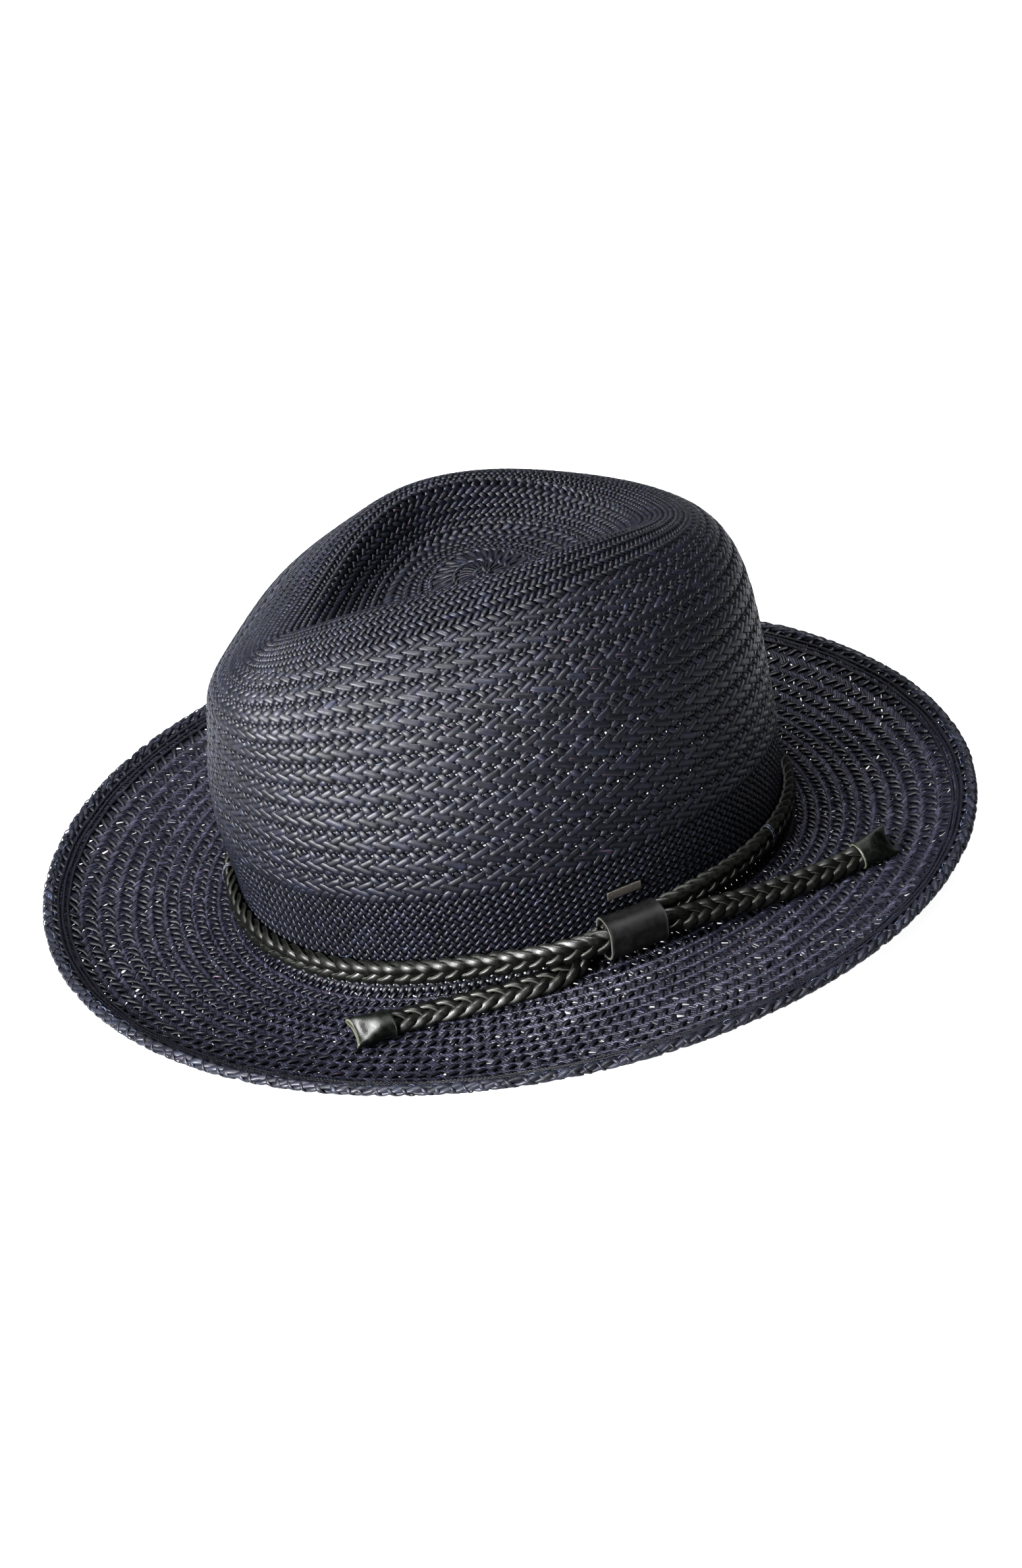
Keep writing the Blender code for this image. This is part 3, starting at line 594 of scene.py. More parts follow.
# %% The two free ends
TAIL_STEP = 4.6 * MM
TAIL_TURN = 13.0 * MM
FRONT_TAIL = [(0.0888, -0.0326, -0.0001), (0.0889, -0.0375, -0.0033), (0.0882, -0.0445, -0.0042),
              (0.0862, -0.0525, -0.0048), (0.0828, -0.0620, -0.0057), (0.0783, -0.0730, -0.0066),
              (0.0735, -0.0850, -0.0073), (0.0702, -0.0960, -0.0073), (0.0686, -0.1050, -0.0068)]
REAR_TAIL = [(0.0967, 0.0040, 0.0028), (0.0966, 0.0150, 0.0010), (0.0969, 0.0290, -0.0013),
             (0.0973, 0.0440, -0.0033), (0.0975, 0.0580, -0.0046), (0.0974, 0.0700, -0.0053),
             (0.0972, 0.0800, -0.0055), (0.0970, 0.0880, -0.0052)]
FRONT_LEAN = math.radians(62)
REAR_LEAN = math.radians(-48)


def smooth_route(route, step):
    """Points at even steps along the cubic curve through a route's own points."""
    route = np.array(route, float)
    run = np.concatenate([[0], np.cumsum(np.linalg.norm(np.diff(route, axis=0), axis=1))])
    slope = np.gradient(route, run, axis=0)
    at = np.linspace(0, run[-1], max(2, round(run[-1] / step)) + 1)
    part = np.clip(np.searchsorted(run, at, side="right") - 1, 0, len(route) - 2)
    width = (run[part + 1] - run[part])[:, None]
    share = (at[:, None] - run[part][:, None]) / width
    return ((2 * share ** 3 - 3 * share ** 2 + 1) * route[part]
            + (share ** 3 - 2 * share ** 2 + share) * width * slope[part]
            + (3 * share ** 2 - 2 * share ** 3) * route[part + 1]
            + (share ** 3 - share ** 2) * width * slope[part + 1])


def tail_line(route, ending):
    """A free end's middle line, on from where the band ends inside the keeper."""
    back_in = math.copysign(0.02, ending)
    end, before = band_place([ending, ending - back_in])
    onward = (end - before) / np.linalg.norm(end - before)
    starts = [end + onward * run - aim for run in (GAP + 0.2 * MM, TAIL_STEP)]
    return smooth_route([*starts, *route], TAIL_STEP) + aim


def tail_face(line, lean, outer):
    """The way the tail's broad side looks; it turns over by lean as it leaves the keeper."""
    direction = unit(np.gradient(line, axis=0))
    sideways = unit(np.cross(direction, [0, 0, 1.0]))
    upright = np.cross(sideways, direction)
    turned = (lean * ease((np.arange(len(line)) - 0.5) * TAIL_STEP / TAIL_TURN))[:, None]
    return outer * (sideways * np.cos(turned) - upright * np.sin(turned))


front_line = tail_line(FRONT_TAIL, -KEEPER_HALF)
rear_line = tail_line(REAR_TAIL, TURN + KEEPER_HALF)
front_face = tail_face(front_line, FRONT_LEAN, -1)
rear_face = tail_face(rear_line, REAR_LEAN, 1)
front_tail = plait("front_tail_plait", front_line, front_face, heading=1, closing=0.18)
rear_tail = plait("rear_tail_plait", rear_line, rear_face, heading=-1, closing=0.18)
dress(front_tail, lace_finish, replaces=["front_tail"])
dress(rear_tail, lace_finish, replaces=["rear_tail"])

# %% [markdown]
# ## The leather tips
# Each free end is closed by a small piece of leather wrapped round the plait and glued: snug at
# its mouth, pressed flat and wider at its open end, where the unfinished flesh side shows.  It is
# a thin shell: the outline runs down the outside, rounds the lip, and comes back up the inside.

# %% Folded leather tips
TIP_LENGTH = 14.5 * MM
TIP_LEATHER = 1.0 * MM
TIP_GRIP = 6.0 * MM


def leather(name, dark, mid, pale, raw, gloss):
    """Dyed calf leather, pressed smooth: fine pores, soft creases, and pale raw edges.

    The shine is broad and satin; the attribute raw marks cut edges and the flesh side.
    """
    made, tree, shader = new_finish(name, Specular_IOR_Level=0.3)
    place = add(tree, "TexCoord")
    # pores about 0.3 mm apart, creases about 3 mm
    pores = add(tree, "TexVoronoi", {"Vector": place.outputs["Object"], "Scale": 2900.0})
    crease = add(tree, "TexNoise", {"Vector": place.outputs["Object"], "Scale": 330.0,
                                    "Detail": 5.0, "Roughness": 0.62})
    skin = add(tree, "ValToRGB", {"Fac": crease.outputs["Fac"]},
               stops=[(0.32, dark), (0.52, mid), (0.75, pale)])
    edge = add(tree, "Attribute", attribute_name="raw")
    colour = add(tree, "Mix", {0: edge.outputs["Fac"], 6: skin.outputs["Color"],
                               7: linear(raw)}, data_type="RGBA")
    shine = add(tree, "MapRange", {"Value": crease.outputs["Fac"], "From Min": 0.3,
                                   "From Max": 0.7, "To Min": gloss - 0.07, "To Max": gloss + 0.1})
    rough = add(tree, "Math", {0: edge.outputs["Fac"], 1: 0.35, 2: shine.outputs[0]},
                operation="MULTIPLY_ADD")
    relief = add(tree, "Math", {0: pores.outputs["Distance"], 1: 0.5, 2: crease.outputs["Fac"]},
                 operation="MULTIPLY_ADD")
    coat(tree, shader, colour.outputs[2], rough.outputs[0], relief.outputs[0], 0.45, 0.1 * MM)
    return made


tip_finish = leather("pressed_calf_leather", "#050605", "#0a0c0a", "#161a16", "#34352b", 0.30)
keeper_finish = leather("matt_calf_leather", "#020202", "#040404", "#080808", "#33332f", 0.58)


def mark_raw(item, share):
    """Store on each corner how raw the leather is there, for its material."""
    layer = item.data.attributes.new("raw", "FLOAT", "POINT")
    layer.data.foreach_set("value", np.asarray(share, np.float32).ravel())


def strip_outline(first, last, points, half, bulge):
    """A strip's section: out along one face, round the lip, back along the other, round again.

    It gives the share along the strip, the offset from its middle, and how far past its ends
    each point lies.  half is half the thickness; bulge is the lip's depth as a share of it.
    """
    share = np.linspace(first, last, points)
    lip = np.radians(np.linspace(90, -90, 7))
    off, past = half * np.sin(lip), half * bulge * np.cos(lip)
    return (np.concatenate([share, 0 * lip + last, share[::-1], 0 * lip + first]),
            np.concatenate([0 * share + half, off, 0 * share - half, -off]),
            np.concatenate([0 * share, past, 0 * share, -past]))


def shell_tube(name, rings, raw):
    """A closed skin over rings of points that come back to the first: a tube with a wall."""
    count, points, _ = rings.shape
    ring, point = np.arange(count)[:, None], np.arange(points)[None, :]
    after, beside = (ring + 1) % count, (point + 1) % points
    quads = np.stack([ring * points + point, ring * points + beside,
                      after * points + beside, after * points + point], -1).reshape(-1, 4)
    item = put_mesh(name, rings.reshape(-1, 3), quads)
    mark_raw(item, np.broadcast_to(raw[:, None], (count, points)))
    return item


def make_tip(name, line, lean, outer):
    """The tip's rings: half axes ease from the mouth's oval to the flat end, lips rounded."""
    last, before = line[-1], line[-2]
    onward = unit(last - before)
    face = tail_face(line, lean, outer)[-1]
    face = unit(face - onward * (face @ onward))
    wide = np.cross(face, onward)
    share = np.linspace(0, 1, 30)
    thick = (BRAID_THICK + 2.4 * MM) * (1 - 0.52 * ease((share - 0.30) / 0.7))
    broad = (BRAID_WIDTH + 1.9 * MM) * (1 + 0.17 * ease((share - 0.15) / 0.85) - 0.03 * share)
    half = TIP_LEATHER / 2
    at, off, past = strip_outline(0, 1, len(share), half, 0.9)
    turn = TURN * (np.arange(56) + 0.5) / 56
    width = np.interp(at, share, broad) / 2 - half
    depth = np.interp(at, share, thick) / 2 - half
    square = 2 / (2.1 + 0.9 * ease(at))
    cosine = np.sign(np.cos(turn)) * np.abs(np.cos(turn)) ** square[:, None]
    sine = np.sign(np.sin(turn)) * np.abs(np.sin(turn)) ** square[:, None]
    # the open end dips in the middle of each flat face and its two corners flare past it
    opened = ease((at - 0.55) / 0.45)[:, None]
    dip = 1.3 * MM * opened * (np.cos(turn) ** 2 - 1)[None]
    sway = 0.35 * MM * np.sin(3 * turn)[None] * ease((at - 0.7) / 0.3)[:, None]
    middle = last + onward * (TIP_LENGTH * 0.985 * at - TIP_GRIP + past)[:, None]
    rings = (middle[:, None] + wide * ((width + off)[:, None] * cosine)[..., None]
             + face * ((depth + off)[:, None] * sine + sway)[..., None]
             + onward * dip[..., None])
    raw = (off < half * 0.85).astype(float)
    return shell_tube(name, rings, raw)


front_tip = make_tip("front_tip_leather", front_line, FRONT_LEAN, -1)
rear_tip = make_tip("rear_tip_leather", rear_line, REAR_LEAN, 1)
dress(front_tip, tip_finish, replaces=["front_tip"])
dress(rear_tip, tip_finish, replaces=["rear_tip"])


def line_length(line):
    return float(np.linalg.norm(np.diff(line, axis=0), axis=1).sum())


for tail, line, tip in ((front_tail, front_line, front_tip), (rear_tail, rear_line, rear_tip)):
    print(tail.name, "is", round(line_length(line) / MM, 1), "mm long")

# %% [markdown]
# ## The keeper
# A strip of calf leather closed to a flat loop round both plaits.  It is free to slide along
# them, so it rides on its own body and follows the band's own curve: the loop's outline, a
# rounded rectangle, is carried round an upright axis.  Its two cut mouths show the pale core.


# %% Keeper loop
def make_keeper():
    """A rounded rectangle, upright, carried along the keeper's length round the wall's axis."""
    near = STRAW / 2 + GAP + LEATHER / 2 + SLACK
    depth = LEATHER + 2 * BRAID_THICK + 3 * GAP + 0.5 * MM
    height = KEEPER_HEIGHT - LEATHER
    corner = 4.8 * MM
    turn = TURN * (np.arange(96) + 0.5) / 96
    quarter = np.floor(turn / (TURN / 4)).astype(int)
    side_out = np.where((quarter == 0) | (quarter == 3), 1, -1)
    side_up = np.where(quarter < 2, 1, -1)
    out = near + depth / 2 + side_out * (depth / 2 - corner) + corner * np.cos(turn)
    high = side_up * (height / 2 - corner) + corner * np.sin(turn)
    half, bulge = LEATHER / 2, 0.45
    at, off, past = strip_outline(-0.5, 0.5, 22, half, bulge)
    # the mouths flare a little where the leather was pulled over the plaits
    flare = 0.25 * MM * np.clip(np.abs(at) * 2 - 0.7, 0, 1) ** 2 / 0.09
    axis = keeper_foot - keeper_outward * KEEPER_RADIUS
    start = math.atan2(keeper_outward[1], keeper_outward[0])
    run = at * (KEEPER_LENGTH - 2 * half * bulge) + past
    around = start + run / (KEEPER_RADIUS + near + depth)
    radius = KEEPER_RADIUS + out[None] + (off + flare * 0.6)[:, None] * np.cos(turn)[None]
    level = keeper_foot[2] + high[None] + (off + flare)[:, None] * np.sin(turn)[None]
    rings = np.stack([axis[0] + radius * np.cos(around)[:, None],
                      axis[1] + radius * np.sin(around)[:, None], level], -1)
    raw = np.where((np.abs(at) > 0.499) & (np.abs(off) < half * 0.6), 1.0, 0.0)
    return shell_tube("keeper_loop", rings[:, ::-1], raw)


keeper = make_keeper()
dress(keeper, keeper_finish, body="keeper", replaces=["keeper"])

# %% [markdown]
# ## Weaving the body
# The hat is woven on the slant: two families of paper straws spiral down it, one leaning right
# and one leaning left, and cross at about every 2 mm.  At each crossing one family is on top.
# Plain weave swaps them at every crossing.  On the crown's wall a fancy weave lets every second
# straw float over four, in rings, so that leaf-shaped floats lie in pairs like a rope; there the
# rings of crossings are packed closer, because long floats pull flat.  The brim is more open:
# one family are flat straws that pass over two and under one, the other bundles of three thin
# straws that do the reverse.  Holes stay open, so light comes through.  On the brim the flat
# straws are given a darker copy of the straw's colour, a painted shade, and the bundles a paler
# one, a painted sheen.
#
# Crossing k of straw i lies at angle (i + k/2) * step for the first family and (i - k/2) * step
# for the second, so where they meet both agree.  How far down the hat crossing k lies is worked
# out ring by ring from the hat's own girth.

# %% How far apart the rings of crossings lie
TUCK = 0.17                             # rows that the straws run on into the brim's roll
row_table = np.linspace(POLE_ROW, EDGE_ROW + TUCK, 801)
sample_angles = np.arange(56) * TURN / 56
sampled = surface(sample_angles[None], row_table[:, None])
depth_table = np.concatenate([[0], np.cumsum(
    np.linalg.norm(np.diff(sampled, axis=0), axis=-1).mean(1))])
girth_table = np.linalg.norm(np.roll(sampled, -1, 1) - sampled, axis=-1).sum(1)
print("from pole to edge", round(depth_table[-1] / MM), "mm; round the edge",
      round(girth_table[-1] / MM), "mm")


def lay_rings(first_row, last_row, count, squeeze, lean=None):
    """The rows of the rings of crossings between two rows, and how far the weave has turned.

    squeeze(k, row) is the ring's share of a square mesh's spacing: half the girth over the count.
    """
    depth = float(np.interp(first_row, row_table, depth_table))
    end = float(np.interp(last_row, row_table, depth_table))
    rows, twists, twist = [], [], 0.0
    while depth < end:
        row = float(np.interp(depth, depth_table, row_table))
        girth = float(np.interp(row, row_table, girth_table))
        rows.append(row)
        twists.append(twist)
        step = squeeze(len(rows) - 1, row) * girth / count / 2
        depth += step
        twist += (lean(row) if lean else 0.0) * step / girth * TURN
    return np.array(rows), np.array(twists)


# %% Where a straw lies at each crossing
LIFT = 0.50 * MM                        # a straw's middle over or under the middle surface
STRAY = 0.045                           # how far a crossing strays, as a share of a step
STRAW_WIDTHS = (0.25 * MM, 3.1 * MM)    # the narrowest and the widest straw
draw = np.random.default_rng(58)


def between(values):
    """Values at the crossings and halfway between them, one after another."""
    halfway = (values[..., 1:] + values[..., :-1]) / 2
    mixed = np.empty(values.shape[:-1] + (2 * values.shape[-1] - 1,))
    mixed[..., ::2], mixed[..., 1::2] = values, halfway
    return mixed


def straw_family(zone, second):
    """Angles, rows, lifts and widths of one family's straws, at and between crossings.

    A straw on top rises by LIFT, a little more amid a float, where it also swells; one that
    dives between two crossings is pinched narrower there.
    """
    rows, twists, count = zone["rows"], zone["twists"], zone["count"]
    straw = np.arange(count)[:, None]
    ring = np.arange(len(rows))[None, :]
    if second:
        on_top = ~zone["rule"](straw - ring, straw, ring)
    else:
        on_top = zone["rule"](straw, straw + ring, ring)
    level = np.where(on_top, 1.0, -1.0)
    # kin is 1 amid a float, where both neighbours lie on the same side, and 0 in plain weave
    padded = np.concatenate([level[:, :1], level, level[:, -1:]], 1)
    kin = (padded[:, 2:] == level) * 0.5 + (padded[:, :-2] == level) * 0.5
    step = TURN / count
    lean_side = -0.5 if second else 0.5
    angle = (straw + lean_side * ring) * step + twists[None]
    angle = angle + draw.normal(0, zone.get("stray", STRAY), angle.shape) * step
    row = rows[None] + zone.get("sway", 0.0) * np.sin(9 * angle + 2.4 * ring)
    lift = between(level * (1 + 0.30 * kin) + draw.normal(0, 0.05, level.shape)) * LIFT
    girth = np.interp(between(row), row_table, girth_table)
    mesh_width = girth / count * math.sqrt(0.5)
    wide = np.where(on_top, 0.99 + zone["swell"] * kin, 0.80)
    wide = between(wide + draw.normal(0, 0.035, level.shape))
    dives = np.zeros_like(wide)
    dives[:, 1::2] = level[:, 1:] != level[:, :-1]
    wide = wide * (1 - 0.20 * dives)
    width = np.clip(mesh_width * zone["fill"] * wide, *STRAW_WIDTHS)
    return between(angle), between(row), lift, width


def weave(name, zone, second, finish, parts=1, apart=0.0):
    """One family of straws as one or more meshes: a flat ribbon carried along every straw.

    The ribbon's section has only four corners, two shoulders over two edges, because it is
    repeated many thousand times.  With a share of a step apart, every straw is three thin
    ones that lie side by side.
    """
    angle, row, lift, width = straw_family(zone, second)
    if apart:
        step = TURN / zone["count"]
        angle = np.concatenate([angle + side * apart * step for side in (-1, 0, 1)])
        row, lift = np.tile(row, (3, 1)), np.tile(lift, (3, 1))
        lift = lift + draw.normal(0, 0.06, (len(angle), 1)) * MM
        width = np.tile(width * 0.40, (3, 1)) * draw.uniform(0.85, 1.15, (len(angle), 1))
    else:
        width = width * zone.get("narrow", 1.0)
    normal = surface_normal(angle, row)
    centre = surface(angle, row) + normal * lift[..., None]
    thick = np.clip(width * 0.40, 0.3 * MM, 0.78 * MM)
    across = np.array([1.0, 0.62, -0.62, -1.0]) * width[..., None] / 2
    rise = np.array([-0.75, 0.85, 0.85, -0.75]) * thick[..., None] / 2
    for part, members in enumerate(np.array_split(np.arange(len(angle)), parts)):
        label = f"{name}_{part + 1}" if parts > 1 else name
        item = strands(label, centre[members], normal[members], across[members], rise[members],
                       seeds=draw.random(len(members)))
        dress(item, finish, replaces=["straw_body"])


# %% [markdown]
# ## Paper straw, dyed navy
# The straw is twisted paper ribbon.  Up close each one is a bundle of fine fibres, darker in the
# folds and pale and satin where it is rubbed, with a stray plum-coloured fibre from the dye.


# %% Dyed paper straw
def paper_straw(name, deep, mid, pale, gloss=0.42, sheen=0.02):
    """Twisted paper ribbon: fibres 0.25 mm apart run along it; the sheen comes off them."""
    made, tree, shader = new_finish(name, Specular_IOR_Level=0.24, Sheen_Weight=sheen,
                                    Sheen_Roughness=0.45, Sheen_Tint=linear("#9fb0d8"))
    strand = add(tree, "Attribute", attribute_name="strand")
    # scale along, across and from straw to straw, shift, detail and roughness: the fine fibres,
    # the slow patches 18 mm long, and the odd fibre that took the dye another way
    layers = []
    for scale, shift, detail, rough in (((170.0, 3900.0, 97.0), (0.0, 0.0, 0.0), 3.0, 0.6),
                                        ((55.0, 0.0, 61.0), (0.0, 0.0, 0.0), 2.0, 0.5),
                                        ((90.0, 2100.0, 41.0), (7.0, 3.0, 5.0), 1.0, 0.5)):
        place = add(tree, "Mapping", {"Vector": strand.outputs["Vector"], "Scale": scale,
                                      "Location": shift})
        noise = add(tree, "TexNoise", {"Vector": place.outputs["Vector"], "Scale": 1.0,
                                       "Detail": detail, "Roughness": rough})
        layers.append(noise.outputs["Fac"])
    fibres, patches, odd = layers
    shade = add(tree, "Math", {0: fibres, 1: 0.55}, operation="MULTIPLY")
    both = add(tree, "Math", {0: patches, 1: 0.45, 2: shade.outputs[0]}, operation="MULTIPLY_ADD")
    body = add(tree, "ValToRGB", {"Fac": both.outputs[0]},
               stops=[(0.34, deep), (0.50, mid), (0.68, pale)])
    stray = add(tree, "MapRange", {"Value": odd, "From Min": 0.70, "From Max": 0.78,
                                   "To Max": 0.6})
    colour = add(tree, "Mix", {0: stray.outputs[0], 6: body.outputs["Color"],
                               7: linear("#40303c")}, data_type="RGBA")
    shine = add(tree, "MapRange", {"Value": fibres, "From Min": 0.3, "From Max": 0.7,
                                   "To Min": gloss + 0.14, "To Max": gloss - 0.06})
    coat(tree, shader, colour.outputs[2], shine.outputs[0], fibres, 0.6, 0.12 * MM)
    return made


crown_straw = paper_straw("dyed_paper_straw", "#040406", "#0a0b10", "#1b1d29")
# the same navy straw, paler: a painted sheen for the brim's bundles, which face the light
sheen_painted_brim_straw = paper_straw("dyed_paper_straw_painted_sheen", "#09080c", "#16161f", "#3c3b48")
# the same navy straw, darker: a painted shade for the brim's flat floats, which face away from the
# sheen
shaded_float_straw = paper_straw("dyed_paper_straw_painted_shade", "#050508", "#0a0a10", "#15161d", 0.40, 0.02)


# %% How the rings of crossings lie in each zone
FLOATS = 4                              # crossings under each long float
FANCY_REPEAT = 2 * FLOATS + 2
FANCY_SQUEEZE = 0.44
BRIM_SQUEEZE = 0.88
BRIM_TWIST = 0.46                       # the brim's straws turn aside by this share of their run
TOP_ROW, BOWL_ROW, LIP_ROW, FANCY_ROW, FINE_ROW, BRIM_ROW = 2.0, 3.2, 4.6, 6.0, 9.9, 12.7
CROWN_STRAWS, TOP_STRAWS, BOWL_STRAWS = 192, 64, 112


def square(ring, row):
    return 1.0


def crown_squeeze(ring, row):
    """Long floats pull the rings together; the plain weave is square."""
    in_float = (ring - fancy_ring) % FANCY_REPEAT < 2 * FLOATS
    return FANCY_SQUEEZE if fancy_ring <= ring and row <= FINE_ROW and in_float else 1.0


fancy_ring = len(lay_rings(LIP_ROW, FANCY_ROW, CROWN_STRAWS, square)[0])
crown_rows, crown_twists = lay_rings(LIP_ROW, BRIM_ROW + 0.16, CROWN_STRAWS, crown_squeeze)
fine_ring = int(np.searchsorted(crown_rows, FINE_ROW))
print(len(crown_rows), "rings of crossings on the crown; fancy from", fancy_ring, "to", fine_ring)
brim_rows, brim_twists = lay_rings(BRIM_ROW - 0.10, EDGE_ROW + TUCK, CROWN_STRAWS,
                                   lambda ring, row: BRIM_SQUEEZE, lambda row: BRIM_TWIST)
top_rows, top_twists = lay_rings(TOP_ROW, BOWL_ROW + 0.05, TOP_STRAWS, square)
bowl_rows, bowl_twists = lay_rings(BOWL_ROW, LIP_ROW + 0.05, BOWL_STRAWS, square)


# %% The rules of the weave
def plain(first, second, ring):
    return (ring + 0 * first) % 2 == 0


def ring_twill(first, second, ring):
    return ((ring + 0 * first) // 2) % 2 == 0


def brim_floats(first, second, ring):
    return (ring + 0 * first) % 3 == 2


def fancy(first, second, ring):
    """A ring of floats that lean one way, a ring that lean the other, then two plain rings."""
    place = (ring - fancy_ring) % FANCY_REPEAT
    return np.where(place < FLOATS, second % 2 == 1,
                    np.where(place < 2 * FLOATS, first % 2 == 0, place == 2 * FLOATS + 1))


def crown_rule(first, second, ring):
    """True where the first family is on top: lip twill, then the fancy rings, then plain."""
    return np.where(ring < fancy_ring, ring_twill(first, second, ring),
                    np.where(ring < fine_ring, fancy(first, second, ring),
                             plain(first, second, ring)))


# %% The zones of the weave
# fill is a straw's width as a share of its mesh; swell is how much wider it is amid a float;
# narrow thins the second family; stray and sway are how unevenly the crossings lie
crown_zone = dict(rows=crown_rows, twists=crown_twists, count=CROWN_STRAWS, rule=crown_rule,
                  fill=1.02, swell=0.48)
brim_zone = dict(rows=brim_rows, twists=brim_twists, count=CROWN_STRAWS, rule=brim_floats,
                 fill=1.16, swell=0.10, narrow=0.64, stray=0.11, sway=0.022)
top_zone = dict(rows=top_rows, twists=top_twists, count=TOP_STRAWS, rule=ring_twill, fill=1.06,
                swell=0.2)
bowl_zone = dict(rows=bowl_rows, twists=bowl_twists, count=BOWL_STRAWS, rule=ring_twill,
                 fill=1.06, swell=0.2)

# %% Weave them
for second, side in ((False, "right"), (True, "left")):
    weave(f"crown_straws_{side}", crown_zone, second, crown_straw, parts=3)
    if second:
        # the brim's flat floats take the darker copy of the straw, a painted shade
        weave(f"brim_straws_{side}", brim_zone, second, shaded_float_straw)
    else:
        # the brim's bundles take the paler copy of the straw, a painted sheen
        weave(f"brim_straws_{side}", brim_zone, second, sheen_painted_brim_straw, parts=3, apart=0.29)
    weave(f"bowl_straws_{side}", bowl_zone, second, crown_straw)
    weave(f"top_straws_{side}", top_zone, second, crown_straw)

# %% [markdown]
# ## The crown's button and its twined rings
# A hat is begun at its centre: straws are laid across each other as a star and spread out like
# spokes.  Wherever more straws are added, two are twined round the work as a ring that locks them
# in.  Those rings are what shows as circles in the hollow of the crown.


# %% Spokes and twined rings
def spokes(name, count, first_row, last_row):
    """Flat straws that radiate from the button, every second one a little higher."""
    share = np.linspace(0, 1, 14)[None]
    row = first_row + (last_row - first_row) * share
    spoke = np.arange(count)[:, None]
    angle = (spoke + 0.5) * TURN / count + 0.35 * share
    row = row + 0 * angle
    normal = surface_normal(angle, row)
    over = np.where(spoke % 2 == 0, 1, -1) * np.cos(3.5 * math.pi * share)
    centre = surface(angle, row) + normal * (over * 0.30 * MM + 0.12 * MM)[..., None]
    width = np.clip(np.interp(row, row_table, girth_table) / count * 1.35, 0.45 * MM, 3.0 * MM)
    across, rise = oval(1.0, 1.0, 6)
    return strands(name, centre, normal, width[..., None] * across,
                   (0.25 * MM + 0.25 * width)[..., None] * rise)


def twined_rings(name, rows, ply, pitch, lift=0.0, plies=2):
    """Rings of two straws twisted about each other: each winds about the ring's own line."""
    rows = np.repeat(np.asarray(rows, float), plies)
    lifts = np.repeat(np.broadcast_to(np.asarray(lift, float), (len(rows) // plies,)), plies)
    phase = np.tile(np.arange(plies) * TURN / plies, len(rows) // plies)
    stations = 800 if rows.min() > BRIM_ROW else 400
    angle = np.arange(stations)[None] * TURN / stations + 0 * rows[:, None]
    row = rows[:, None] + 0.004 * np.sin(5 * angle + rows[:, None])
    girth = np.interp(rows, row_table, girth_table)
    winds = np.round(girth / pitch)[:, None] * angle + phase[:, None]
    winds = winds + 0.25 * np.sin(7 * angle + phase[:, None])
    normal = surface_normal(angle, row)
    base = surface(angle, row) + normal * lifts[:, None, None]
    along = unit(np.roll(base, -1, 1) - np.roll(base, 1, 1))
    side = np.cross(normal, along)
    spiral = side * np.cos(winds)[..., None] + normal * np.sin(winds)[..., None]
    centre = base + ply * 0.46 * spiral
    across, rise = oval(ply * 1.15, ply * 0.9, 5)
    return strands(name, centre, normal, across, rise, closed=True)


button = spokes("button_spokes", 48, POLE_ROW + 0.03, TOP_ROW + 0.12)
dress(button, crown_straw, replaces=["straw_body"])
adding_rows = [1.14, 1.55, TOP_ROW + 0.04, BOWL_ROW + 0.03, LIP_ROW + 0.02]
inner_rings = twined_rings("crown_twined_rings", adding_rows, ply=1.5 * MM, pitch=6.0 * MM)
dress(inner_rings, crown_straw, replaces=["straw_body"])
edge_rows = [EDGE_ROW - 0.10, EDGE_ROW - 0.24, EDGE_ROW - 0.40]
# the edge's twined rings also take the floats' darker copy of the straw, a painted shade
for label, side in (("over", 1), ("under", -1)):
    rings = twined_rings(f"brim_twined_rings_{label}", edge_rows, ply=1.05 * MM,
                         pitch=2.6 * MM, lift=side * 0.45 * MM)
    dress(rings, shaded_float_straw, replaces=["straw_body"])

# %% [markdown]
# ## The rolled edge
# At the brim's edge the straws' ends are turned back and woven along the edge in bundles, which
# makes a hard roll like a rope.  It is three fat plies wound about one line, each swelling and
# thinning as the bundles come and go, with straw ends wrapped slantwise over them.

# %% Rolled edge
EDGE_WIDTH = 3.6 * MM
EDGE_THICK = 2.8 * MM
ROLL_PITCH = 15.5 * MM
PLY_WIDTH, PLY_THICK = 2.45 * MM, 2.0 * MM
PLY_OUT, PLY_UP = 0.95 * MM, 0.78 * MM  # how far a ply winds from the roll's own line


def edge_line(angle, past):
    """Points past the brim's edge: on along the way that the brim itself ends."""
    rim = surface(angle, EDGE_ROW)
    onward = rim - surface(angle, EDGE_ROW - 1.0)
    onward = unit(onward * np.array([1, 1, 0.3]))
    return rim + onward * past, onward


def rolled_edge(name):
    """Three plies wound about the edge's line, each swelling as the bundles come and go."""
    plies, stations = 3, 1400
    angle = np.arange(stations)[None] * TURN / stations + np.zeros((plies, 1))
    ply = np.arange(plies)[:, None]
    line, onward = edge_line(angle, GAP + EDGE_WIDTH / 2 + SLACK)
    upward = np.cross(unit(np.roll(line, -1, 1) - np.roll(line, 1, 1)), onward)
    upward = np.where(upward[..., 2:] < 0, -upward, upward)
    turns_round = round(girth_table[-1] / ROLL_PITCH)
    wind = turns_round * angle + ply * TURN / plies + 0.5 * np.sin(31 * angle + ply)
    swell = 1 + 0.17 * np.sin(67 * angle + 2 * ply) + 0.12 * np.sin(149 * angle + 5 * ply)
    centre = line + onward * (PLY_OUT * np.cos(wind))[..., None]
    centre = centre + upward * (PLY_UP * np.sin(wind))[..., None]
    across, rise = oval(PLY_WIDTH, PLY_THICK, 9)
    return strands(name, centre, upward, swell[..., None] * across, swell[..., None] * rise,
                   closed=True)


